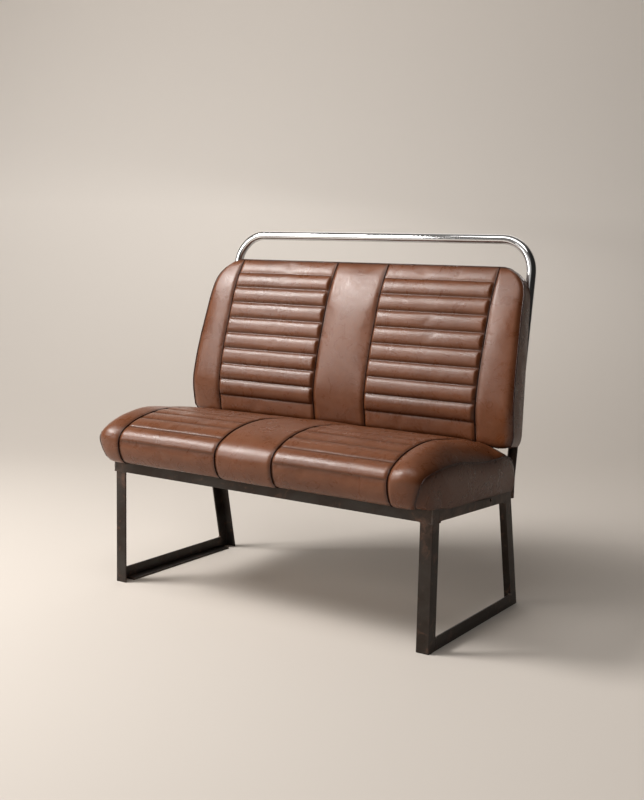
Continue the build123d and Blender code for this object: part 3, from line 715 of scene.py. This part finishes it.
def build_seat_cover(cover_material):
    shape = SeatShape()
    cushions = settings("cushions")
    sides = SIDE_ROWS
    wide, deep = len(shape.columns) - 1 + 2 * sides, len(shape.rows) - 1
    bm = bmesh.new()
    bmesh.ops.create_grid(bm, x_segments=wide, y_segments=deep, size=1.0)
    crown = bm.verts.layers.float.new("Crown")
    held = bm.verts.layers.int.new("Held")
    for vertex in bm.verts:
        column = round((vertex.co.x + 1) / 2 * wide) - sides
        row = round((vertex.co.y + 1) / 2 * deep)
        last = len(shape.columns) - 1
        if 0 <= column <= last:
            x = shape.columns[column]
            lift, mask = shape.lift(row, x)
            wander = noise.noise(Vector((x / 90, shape.rows[row] / 90, 3.1))) * 0.8 * mask
            vertex.co = shape.point(row, x, lift + wander)
            seam = on_mark(abs(x), SEAT_SEAMS + (SEAT_END,))
            fluted = SEAT_SEAMS[0] <= abs(x) <= SEAT_SEAMS[1]
            seam = seam or (fluted and on_mark(shape.rows[row], shape.seams))
            vertex[crown] = mask
            vertex[held] = 1 if seam or row in (0, deep) else 0
        else:
            side = 1 if column > last else -1
            depth = (column - last if side > 0 else -column) / sides
            top = shape.point(row, side * SEAT_END, 0)
            y, height, reach = shape.hem(row)
            foot = world_point(side * reach, y, height)
            gap = (top - foot).length / MM
            puff = min(6.0, gap / 9) * sin(pi * min(depth, 1) ** 0.8)
            vertex.co = top.lerp(foot, depth) + Vector((side * puff * MM, 0, 0))
            # Painted shade: the boxing gets a crown value of at most 0.55, so it is painted darker than the
            # top, darkest along the welt and the hem
            vertex[crown] = 0.55 * smooth(depth * 3) * smooth((1 - depth) * 4 + 0.3)
            vertex[held] = 1
    close_underneath(bm, held, cushions.hide_thickness / MM)
    bmesh.ops.remove_doubles(bm, verts=bm.verts, dist=0.0004)
    bmesh.ops.dissolve_degenerate(bm, edges=bm.edges, dist=0.0001)
    pins = [index for index, vertex in enumerate(bm.verts) if vertex[held]]
    obj = finish_mesh("seat_cushion", bm, cover_material)
    inflate(obj, pins, cushions.swell_cap)
    subdivide(obj)
    seat_on_frame(
        obj, "cover_leather", "seat_foam", "seat_centre_cover", "seat_rear_cover",
        "left_seat_fluted_cover", "right_seat_fluted_cover", "left_seat_end_cover", "right_seat_end_cover",
        "left_seat_side_cover", "right_seat_side_cover",
    )
    return shape


def close_underneath(bm, held, thickness):
    """Turns the hem under and closes the cover over the board."""
    inner, low, high = BASE_HALF + 0.9, -18.4, 398.2
    for turn in range(2):
        for vertex in extruded(bm, rim(bm)):
            x, y = vertex.co.x / MM, vertex.co.y / MM - LEG_FRONT
            height = vertex.co.z / MM - FRAME_TOP
            x = max(-inner, min(inner, x))
            y = max(low, min(high, y))
            if turn:
                height = BOARD_TOP - FRAME_SLOPE * y
            elif y < 0:
                height += thickness
            vertex.co = world_point(x, y, height)
            vertex[held] = 1
    bmesh.ops.triangle_fill(bm, edges=rim(bm), use_beauty=True)


# The back, in millimetres from its own foot and rear
BACK_SEAMS = (79.0, 396.0)
BACK_HALF = 499.0
BACK_SIDE_WIDTH = 95.0
BACK_SEAM_ROLL = 12
BACK_EDGE_ROLL = 15
BACK_FOOT = -1.2
BACK_HEAD = 428
BACK_RINGS = 9
RIGHT_DROOP, LEFT_DROOP, FOOT_DROOP = 12, 6, 3.5
BACK_TOP_DRAW = 20.0
BACK_HEIGHT = 430.0
BACK_TAPER = 14.0
BACK_TAPER_DEPTH = 101.5
BACK_TOP_RADIUS = 74.0
BACK_FOOT_RADIUS = 20.0
BACK_RISE = 88.0
LEAN = radians(8.53)
POST_BEND_HEIGHT = 332.0
TUBE_RADIUS = 12.0
REAR_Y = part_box("rear_rail")[1][1] / MM


def back_point(x, rise, depth):
    """From the back's own places (across, up from its foot, forward of its rear) to metres."""
    along, reach = BACK_RISE + rise, TUBE_RADIUS + depth
    y = REAR_Y + TUBE_RADIUS + along * sin(LEAN) - reach * cos(LEAN)
    return Vector((x, y, POST_BEND_HEIGHT + along * cos(LEAN) + reach * sin(LEAN))) * MM


def back_half_width(rise, depth, inset=0.0):
    """Half the back's width at a rise and a depth, with its round corners."""
    share = min(max(rise / BACK_HEIGHT, 0), 1)
    taper = BACK_TAPER * (1 - depth / BACK_TAPER_DEPTH)
    half = BACK_HALF - BACK_TOP_DRAW * share - taper - inset
    for radius, gap in ((BACK_TOP_RADIUS, BACK_HEIGHT - inset - rise), (BACK_FOOT_RADIUS, rise - inset)):
        if gap < radius:
            half -= radius - sqrt(max(0.0, radius ** 2 - (radius - max(gap, 0)) ** 2))
    return half


class BackShape:
    """The back cover as one cloth: rows run up its face."""

    def __init__(self):
        cushions = settings("cushions")
        self.profile = Profile(BACK_DOWN, BACK_UP, (1, 0))
        self.rise = cushions.back_flute_rise / MM
        self.wadding = cushions.wadding / MM
        first, last = (self.profile.run_of(joint) for joint in BACK_SEAM_JOINTS)
        count = cushions.back_flutes
        self.seams = [first + (last - first) * index / count for index in range(count + 1)]
        places = list(zip(self.profile.runs, self.profile.samples))
        self.foot = next(run for run, sample in places if sample[1].x >= BACK_FOOT)
        self.head = next(run for run, sample in places if sample[1].x >= BACK_HEAD)
        self.rows = stations([self.foot] + self.seams + [self.head], cushions.mesh_pitch / MM, 6)
        pitch = cushions.mesh_pitch / MM
        middle = stations([-BACK_SEAMS[1], -BACK_SEAMS[0], BACK_SEAMS[0], BACK_SEAMS[1]], pitch)
        self.side = stations([0.0, 1.0], pitch / BACK_SIDE_WIDTH)[1:]
        self.columns = [("side", -share) for share in reversed(self.side)]
        self.columns += [("panel", x) for x in middle] + [("side", share) for share in self.side]
        self.at_row = [self.profile.at(run) for run in self.rows]

    # The second value is the crown mask: low towards the seams and the edges, where crease shade is painted
    def lift(self, row, kind, value):
        run = self.rows[row]
        x = abs(value)
        end = min(run - self.foot, self.head - run)
        ends = smooth(end / BACK_EDGE_ROLL)
        if kind == "side":
            edge = smooth(x * BACK_SIDE_WIDTH / 13) * smooth((1 - x) * BACK_SIDE_WIDTH / 16)
            roll = -1.5 * x ** 2 - 4.0 * smooth((x - 0.72) / 0.28) ** 2
            return self.wadding * 1.3 * min(edge, ends) + roll, min(edge, ends)
        near = min(abs(x - seam) for seam in BACK_SEAMS)
        edge = smooth(near / BACK_SEAM_ROLL)
        if BACK_SEAMS[0] < x < BACK_SEAMS[1]:
            if self.seams[0] <= run <= self.seams[-1]:
                pitch = self.seams[1] - self.seams[0]
                share = ((run - self.seams[0]) / pitch) % 1.0
                arch = arch_at(share, 0.8)
                return self.rise * arch * smooth(near / CHANNEL_END), arch * smooth(near / CROWN_END)
            share = (run - self.foot) / (self.seams[0] - self.foot)
            if run > self.seams[-1]:
                share = (self.head - run) / (self.head - self.seams[-1])
            arch = arch_at(share, 0.8)
            rise = self.rise * 0.42 * arch * smooth(near / CHANNEL_END)
            return rise, smooth(share * 3) * smooth(near / CROWN_END)
        return self.wadding * (edge * 1.2) * ends, edge * ends

    def point(self, row, kind, value, lift):
        place, normal = self.at_row[row][1:]
        place = place + normal * lift
        rise = max(place.x, 0.0)
        reach = abs(value) if kind == "panel" else BACK_SEAMS[1] + 100 * abs(value)
        corner = RIGHT_DROOP if value > 0 else LEFT_DROOP
        droop = corner * smooth((reach - 330) / 150) * max(0.0, 1 - rise / 70) ** 2
        droop += FOOT_DROOP * max(0.0, 1 - rise / 30) ** 2
        if kind == "panel":
            x = min(abs(value), back_half_width(min(rise, BACK_HEAD), place.y) - 2)
            return back_point(x if value > 0 else -x, rise - droop, place.y)
        limit = back_half_width(min(rise, 429.5), place.y)
        start = min(BACK_SEAMS[1], limit - 22)
        x = start + (limit - start) * abs(value)
        return back_point(x if value > 0 else -x, rise - droop, place.y)


def build_back_cover(cover_material):
    shape = BackShape()
    cushions = settings("cushions")
    wide, deep = len(shape.columns) - 1, len(shape.rows) - 1
    bm = bmesh.new()
    bmesh.ops.create_grid(bm, x_segments=wide, y_segments=deep, size=1.0)
    crown = bm.verts.layers.float.new("Crown")
    held = bm.verts.layers.int.new("Held")
    for vertex in bm.verts:
        column = round((vertex.co.x + 1) / 2 * wide)
        row = round((vertex.co.y + 1) / 2 * deep)
        kind, value = shape.columns[column]
        lift, mask = shape.lift(row, kind, value)
        across = value * (0.011 if kind == "panel" else 1)
        wander = noise.noise(Vector((across, shape.rows[row] / 80, 7.7))) * mask
        vertex.co = shape.point(row, kind, value, lift + wander)
        seam = kind == "panel" and on_mark(abs(value), BACK_SEAMS)
        fluted = kind == "panel" and BACK_SEAMS[0] <= abs(value) <= BACK_SEAMS[1]
        seam = seam or (fluted and on_mark(shape.rows[row], shape.seams))
        seam = seam or row in (0, deep) or column in (0, wide)
        vertex[crown] = mask
        vertex[held] = int(seam)
    for ring in range(1, BACK_RINGS + 2):
        for vertex in extruded(bm, rim(bm)):
            rise, depth = back_places(vertex.co)
            x = vertex.co.x / MM
            if ring <= BACK_RINGS:
                left = depth / (BACK_RINGS + 1 - ring)
                depth -= left
                x -= (1 if x > 0 else -1) * BACK_TAPER * left / BACK_TAPER_DEPTH * smooth((abs(x) - 380) / 60)
                # Painted shade: the boxing rings get a crown value of at most 0.5, so they are painted darker
                # than the face, darkest at the rear
                vertex[crown] = 0.5 * smooth(ring / 2) * smooth((BACK_RINGS - ring) / 2 + 0.2)
                vertex[held] = int(ring in (1, BACK_RINGS))
            else:
                x *= 0.985
                middle = BACK_HEIGHT / 2
                rise = middle + (rise - middle) * 0.97
                depth = 0.3
                vertex[crown] = 0.2
                vertex[held] = 1
            vertex.co = back_point(x, rise, depth)
    bmesh.ops.triangle_fill(bm, edges=rim(bm), use_beauty=True)
    pins = [index for index, vertex in enumerate(bm.verts) if vertex[held]]
    obj = finish_mesh("back_cushion", bm, cover_material)
    inflate(obj, pins, cushions.swell_cap)
    subdivide(obj)
    seat_on_frame(
        obj, "cover_leather", "back_foam", "back_centre_cover", "back_boxing", "back_rear_cover",
        "left_back_fluted_cover", "right_back_fluted_cover", "left_back_side_cover", "right_back_side_cover",
    )
    return shape


def back_places(co):
    """From metres back to the back's own (rise, depth)."""
    dy = co.y / MM - REAR_Y - TUBE_RADIUS
    dz = co.z / MM - POST_BEND_HEIGHT
    rise = dy * sin(LEAN) + dz * cos(LEAN) - BACK_RISE
    depth = -dy * cos(LEAN) + dz * sin(LEAN) - TUBE_RADIUS
    return rise, depth


# Welts and stitching, lifted off the seams in millimetres
WELT_LIFT = 0.6
SEAT_WELT_LIFT = 1.5


def build_welts(seat, back, piping, edging):
    radius = settings("cushions").welt_radius
    lift = WELT_LIFT
    step = 2
    bm = bmesh.new()
    for seam in (-SEAT_SEAMS[1], -SEAT_SEAMS[0], SEAT_SEAMS[0], SEAT_SEAMS[1]):
        sweep(bm, [seat.point(row, seam, SEAT_WELT_LIFT) for row in range(0, len(seat.rows), step)], radius)
    seat_on_frame(finish_mesh("seat_panel_welts_piping", bm, piping), "welt_leather", "seat_panel_welts")
    for name, side in (("left", -1), ("right", 1)):
        bm = bmesh.new()
        places = [seat.point(row, side * SEAT_END, lift) for row in range(0, len(seat.rows) - 8, step)]
        sweep(bm, places, radius)
        cord = finish_mesh(name + "_seat_end_piping", bm, edging)
        seat_on_frame(cord, "welt_leather", name + "_seat_end_welt")
    bm = bmesh.new()
    for seam in (-BACK_SEAMS[1], -BACK_SEAMS[0], BACK_SEAMS[0], BACK_SEAMS[1]):
        sweep(bm, [back.point(row, "panel", seam, lift) for row in range(0, len(back.rows), step)], radius)
    seat_on_frame(finish_mesh("back_panel_welts_piping", bm, piping), "welt_leather", "back_panel_welts")
    bm = bmesh.new()
    last = len(back.rows) - 1

    def on_edge(row, kind, value):
        return back.point(row, kind, value, back.lift(row, kind, value)[0])

    right = [on_edge(row, "side", 1.0) for row in range(0, last + 1, step)]
    top = [on_edge(last, kind, value) for kind, value in reversed(back.columns[::step])]
    left = [on_edge(row, "side", -1.0) for row in range(last, -1, -step)]
    foot = [on_edge(0, kind, value) for kind, value in back.columns[::step]]
    loop = []
    for place in right + top + left + foot:
        if not loop or (place - loop[-1]).length > 0.002:
            loop.append(place)
    if (loop[0] - loop[-1]).length < 0.002:
        loop.pop()
    sweep(bm, loop, radius, closed=True)
    seat_on_frame(finish_mesh("back_edge_piping", bm, edging), "welt_leather", "back_edge_welt")


def stitch(bm, start, end, normal, radius):
    """One stitch: a short rounded thread sunk at its ends."""
    ahead = (end - start).normalized()
    side = normal.cross(ahead).normalized()
    turn = Matrix((ahead, side, ahead.cross(side))).transposed().to_4x4()
    stretch = Matrix.Diagonal(((end - start).length * 0.42 / radius, 1, 0.8, 1))
    place = Matrix.Translation((start + end) / 2)
    bmesh.ops.create_icosphere(bm, subdivisions=1, radius=radius, matrix=place @ turn @ stretch)


def build_stitching(seat, back, thread):
    cushions = settings("cushions")
    pitch, radius = cushions.stitch_pitch / MM, cushions.stitch_radius
    jobs = (
        ("seat_stitching", seat, SEAT_SEAMS, lambda row, x: seat.point(row, x, 0.25)),
        ("back_stitching", back, BACK_SEAMS, lambda row, x: back.point(row, "panel", x, 0.15)),
    )
    for name, shape, seams, place in jobs:
        bm = bmesh.new()
        for mark in shape.seams:
            row = min(range(len(shape.rows)), key=lambda index: abs(shape.rows[index] - mark))
            for side in (-1, 1):
                low, high = seams[0] + 4, seams[1] - 4
                count = round((high - low) / pitch)
                for index in range(count):
                    a = low + (high - low) * index / count
                    b = low + (high - low) * (index + 0.8) / count
                    start, end = place(row, side * a), place(row, side * b)
                    lift = Vector((0, 0, 1)) if shape is seat else Vector((0, -1, 0.15))
                    stitch(bm, start, end, lift, radius)
        seat_on_frame(finish_mesh(name, bm, thread), "cover_leather")


# Operators
class BANQUETTE_OT_finishes(bpy.types.Operator):
    """Gives the steel, chrome and board their finishes"""

    bl_idname = "banquette.finishes"
    bl_label = "Steel, chrome and board"

    def execute(self, context):
        finishes = settings("finishes")
        group = steel_group()
        steel = steel_material("Waxed mill scale", group, 0.0, finishes.scale)
        chrome = plain_material("Chrome plate", finishes.chrome, 0.07, 1.0, 40.0, 0.00005)
        dark = plain_material("Black bolt heads", (0.012, 0.012, 0.013, 1), 0.4, 0.6)
        zinc = plain_material("Zinc plate", (0.42, 0.42, 0.43, 1), 0.34, 1.0)
        board = plywood_material("Plywood", finishes.plywood)
        own = {"grab_rail": chrome, "back_bolts": dark, "seat_board": board, "back_board": board}
        for name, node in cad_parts.items():
            finish = own.get(name)
            if finish is None:
                steels = ("leg", "rail", "post")
                finish = steel if name.rsplit("_", 1)[-1] in steels else zinc
            for place in node.material_slots:
                place.material = finish
        return {"FINISHED"}


class BANQUETTE_OT_edges(bpy.types.Operator):
    """Rounds the rolled edges of the steel angle"""

    bl_idname = "banquette.edges"
    bl_label = "Rolled edges"

    def execute(self, context):
        for name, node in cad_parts.items():
            if name.endswith(("_leg", "_rail")) and name != "grab_rail":
                weld = node.modifiers.new("Joined faces", "WELD")
                weld.merge_threshold = 0.00001
                bevel = node.modifiers.new("Rolled edge", "BEVEL")
                bevel.width = 0.0009
                bevel.segments = 2
                bevel.limit_method = "ANGLE"
                bevel.angle_limit = radians(40)
        return {"FINISHED"}


BEAD_RADIUS = 3.0
CORNER_BEAD_RADIUS = 3.4
BEAD_STEP = 2.2
ANGLE_LEG = 32
REAR_LEG_FOOT = 434
REAR_LEG_HEAD = 377
REAR_JOINT_HEIGHT = 279.5
POST_BEAD_OFFSET = 8.5
POST_BEAD_SPAN = (284, 306)


def lay_bead(bm, start, end, radius):
    """A row of overlapping drops of weld metal, uneven in size and place."""
    count = max(3, round((end - start).length / BEAD_STEP))
    squash = Matrix.Diagonal((1.0, 1.0, 0.85, 1.0))
    for index in range(count + 1):
        place = start.lerp(end, index / count)
        jitter = noise.noise_vector(place * 0.37) * 0.7
        size = radius * (0.85 + 0.35 * noise.noise(place * 0.9))
        spot = Matrix.Translation((place + jitter) * MM) @ squash
        bmesh.ops.create_uvsphere(bm, u_segments=12, v_segments=8, radius=size * MM, matrix=spot)


class BANQUETTE_OT_welds(bpy.types.Operator):
    """Lays the rippled weld beads"""

    bl_idname = "banquette.welds"
    bl_label = "Weld beads"

    def execute(self, context):
        group = bpy.data.node_groups["Mill scale"]
        bm = bmesh.new()
        rail_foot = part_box("front_rail")[0][2] / MM
        for side in (-1, 1):

            def bead(start, end, radius=BEAD_RADIUS):
                places = (Vector((side * (BASE_HALF + out), LEG_FRONT + y, z)) for out, y, z in (start, end))
                lay_bead(bm, *places, radius)

            def short_bead(y, z):
                bead((0.2, y, z), (-4, y, z))

            bead((-1, 0, rail_foot), (-31, 0, rail_foot))
            short_bead(ANGLE_LEG, rail_foot - 1.5)
            short_bead(ANGLE_LEG, ANGLE_LEG)
            short_bead(REAR_LEG_FOOT, ANGLE_LEG)
            bead((0.5, -2, rail_foot + 1), (0.5, -2, FRAME_TOP - 3), CORNER_BEAD_RADIUS)
            short_bead(REAR_LEG_HEAD, REAR_JOINT_HEIGHT)
            for turn in (-1, 1):
                x = side * POST_X + turn * POST_BEAD_OFFSET
                low, high = (Vector((x, REAR_Y + 1, z)) for z in POST_BEAD_SPAN)
                lay_bead(bm, low, high, BEAD_RADIUS)
        burnt = steel_material("Burnt weld", group, 0.3, settings("finishes").bead)
        beads = finish_mesh("weld_beads", bm, burnt)
        seat_on_frame(beads, "weld_steel", "corner_welds")
        return {"FINISHED"}


class BANQUETTE_OT_cushions(bpy.types.Operator):
    """Sews and fills the seat and the back, with their welts and stitching"""

    bl_idname = "banquette.cushions"
    bl_label = "Cushions"

    def execute(self, context):
        finishes = settings("finishes")
        group = leather_group()
        cover = leather_material(
            "Waxed leather cover", group, finishes.tan, finishes.patina_and_crease_shade, finishes.bloom, 0.42, "Crown"
        )
        dark = tuple(channel * 2.2 for channel in finishes.piping[:3]) + (1,)
        piping = leather_material("Dark piping", group, finishes.piping, finishes.piping, dark, 0.08)
        edging = leather_material("Edge piping", group, dark, finishes.piping, finishes.patina_and_crease_shade, 0.35)
        thread = plain_material("Waxed thread", finishes.thread, 0.6, 0.0, 2500.0)
        seat = build_seat_cover(cover)
        back = build_back_cover(cover)
        build_welts(seat, back, piping, edging)
        build_stitching(seat, back, thread)
        return {"FINISHED"}


SWEEP_HALF, SWEEP_REAR, SWEEP_HEIGHT, SWEEP_BEND = 7.0, 4.2, 6.0, 2.4
SWEEP_TURN = radians(33)
LAMP_COLOUR = (1.0, 0.975, 0.945)
WORLD_COLOUR = (1.0, 0.95, 0.89, 1)
SEEN_WORLD = 0.64
CAMERA_LENS = 51.725
CAMERA_PLACE = (1.6088, -2.1802 + LEG_FRONT * MM, 0.8938)
CAMERA_YAW, CAMERA_PITCH, CAMERA_ROLL = -0.5825, -0.1334, 0.0210


class BANQUETTE_OT_stage(bpy.types.Operator):
    """Sets the floor, the sweep behind it, the lights and the camera"""

    bl_idname = "banquette.stage"
    bl_label = "Stage"

    def execute(self, context):
        stage = settings("stage")
        made, tree, shader = material("Studio paper")
        place = tree.nodes.new("ShaderNodeTexCoord").outputs["Object"]
        parts = tree.nodes.new("ShaderNodeSeparateXYZ")
        tree.links.new(place, parts.inputs[0])
        height = remap(tree, parts.outputs["Z"], 0.0, 1.1)
        tree.links.new(mix(tree, height, stage.floor, stage.wall), shader.inputs["Base Color"])
        shader.inputs["Roughness"].default_value = 0.85
        shader.inputs["Specular IOR Level"].default_value = 0.2
        bm = bmesh.new()
        bmesh.ops.create_grid(bm, x_segments=1, y_segments=1, size=SWEEP_HALF)
        rear = [edge for edge in bm.edges if all(vertex.co.y > 1 for vertex in edge.verts)]
        for vertex in bm.verts:
            if vertex.co.y > 1:
                vertex.co.y = SWEEP_REAR
        bmesh.ops.translate(bm, verts=extruded(bm, rear), vec=(0, 0, SWEEP_HEIGHT))
        bmesh.ops.bevel(
            bm, geom=rear, offset=SWEEP_BEND, offset_type="OFFSET", segments=24, profile=0.5,
            affect="EDGES", material=-1,
        )
        bmesh.ops.rotate(bm, verts=bm.verts, cent=(0, 0, 0), matrix=Matrix.Rotation(SWEEP_TURN, 3, "Z"))
        floor = finish_mesh("studio_sweep", bm, made)

        world = bpy.data.worlds.new("Studio")
        context.scene.world = world
        world.use_nodes = True
        tree = world.node_tree
        lit = tree.nodes["Background"]
        lit.inputs["Color"].default_value = WORLD_COLOUR
        ways = tree.nodes.new("ShaderNodeSeparateXYZ")
        tree.links.new(tree.nodes.new("ShaderNodeTexCoord").outputs["Object"], ways.inputs[0])
        strength = remap(tree, ways.outputs["X"], -0.1, 0.6, stage.world, stage.world * 0.1)
        tree.links.new(strength, lit.inputs["Strength"])
        seen = tree.nodes.new("ShaderNodeBackground")
        seen.inputs["Color"].default_value = stage.wall
        seen.inputs["Strength"].default_value = SEEN_WORLD
        rays = tree.nodes.new("ShaderNodeLightPath")
        choice = tree.nodes.new("ShaderNodeMixShader")
        tree.links.new(rays.outputs["Is Camera Ray"], choice.inputs[0])
        tree.links.new(lit.outputs[0], choice.inputs[1])
        tree.links.new(seen.outputs[0], choice.inputs[2])
        tree.links.new(choice.outputs[0], tree.nodes["World Output"].inputs["Surface"])

        def lamp(name, power, size, place, target):
            light = bpy.data.lights.new(name, "AREA")
            light.shape = "RECTANGLE"
            light.size, light.size_y = size
            light.energy = power
            light.color = LAMP_COLOUR
            lamp_object = bpy.data.objects.new(name, light)
            direction = Vector(target) - Vector(place)
            turn = direction.to_track_quat("-Z", "Y").to_matrix().to_4x4()
            lamp_object.matrix_world = Matrix.Translation(place) @ turn
            context.scene.collection.objects.link(lamp_object)

        lamp("Key", stage.key_power, (1.2, 0.95), (-2.15, -1.6, 2.9), (0, 0, 0.5))
        lamp("Top", stage.top_power, (2.4, 1.2), (0.1, -1.1, 3.2), (0, 0, 0.5))
        lamp("Rear", stage.rear_power, (2.6, 1.4), (-1.2, 2.9, 2.3), (0, 0, 0.4))
        lamp("Fill", stage.fill_power, (2.4, 1.6), (0.2, -3.2, 2.0), (0, 0, 0.5))
        lamp("Sheen", stage.sheen_power, (1.6, 1.0), (-2.3, -2.6, 1.55), (0, 0.1, 0.7))

        camera = bpy.data.cameras.new("Camera")
        camera.lens = CAMERA_LENS
        camera.sensor_width = 36
        camera.dof.use_dof = False
        eye = bpy.data.objects.new("Camera", camera)
        yaw, pitch, roll = CAMERA_YAW, CAMERA_PITCH, CAMERA_ROLL
        ahead = Vector((sin(yaw) * cos(pitch), cos(yaw) * cos(pitch), sin(pitch)))
        right = Vector((cos(yaw), -sin(yaw), 0))
        up = right.cross(ahead)
        right, up = right * cos(roll) + up * sin(roll), up * cos(roll) - right * sin(roll)
        turn = Matrix((right, up, -ahead)).transposed().to_4x4()
        eye.matrix_world = Matrix.Translation(CAMERA_PLACE) @ turn
        context.scene.collection.objects.link(eye)
        context.scene.camera = eye
        context.scene.view_settings.view_transform = "Standard"
        return {"FINISHED"}


class BANQUETTE_PT_panel(bpy.types.Panel):
    bl_label = "Banquette"
    bl_idname = "BANQUETTE_PT_panel"
    bl_space_type = "VIEW_3D"
    bl_region_type = "UI"
    bl_category = "Banquette"

    def draw(self, context):
        for name in ("cushions", "finishes", "stage"):
            box = self.layout.box()
            group = settings(name)
            for key in group.bl_rna.properties.keys():
                if key not in ("rna_type", "name"):
                    box.prop(group, key)
        for operator in OPERATORS:
            self.layout.operator(operator.bl_idname)


OPERATORS = (
    BANQUETTE_OT_stage,
    BANQUETTE_OT_finishes,
    BANQUETTE_OT_edges,
    BANQUETTE_OT_welds,
    BANQUETTE_OT_cushions,
)
GROUPS = {"cushions": BanquetteCushions, "finishes": BanquetteFinishes, "stage": BanquetteStage}


def register():
    for item in tuple(GROUPS.values()) + OPERATORS + (BANQUETTE_PT_panel,):
        bpy.utils.register_class(item)
    for name, group in GROUPS.items():
        setattr(bpy.types.Scene, "banquette_" + name, PointerProperty(type=group))


def unregister():
    for name in GROUPS:
        delattr(bpy.types.Scene, "banquette_" + name)
    for item in reversed(tuple(GROUPS.values()) + OPERATORS + (BANQUETTE_PT_panel,)):
        bpy.utils.unregister_class(item)


def main():
    register()
    bpy.ops.banquette.stage()
    bpy.ops.banquette.finishes()
    bpy.ops.banquette.edges()
    bpy.ops.banquette.welds()
    bpy.ops.banquette.cushions()


if __name__ == "__main__":
    main()
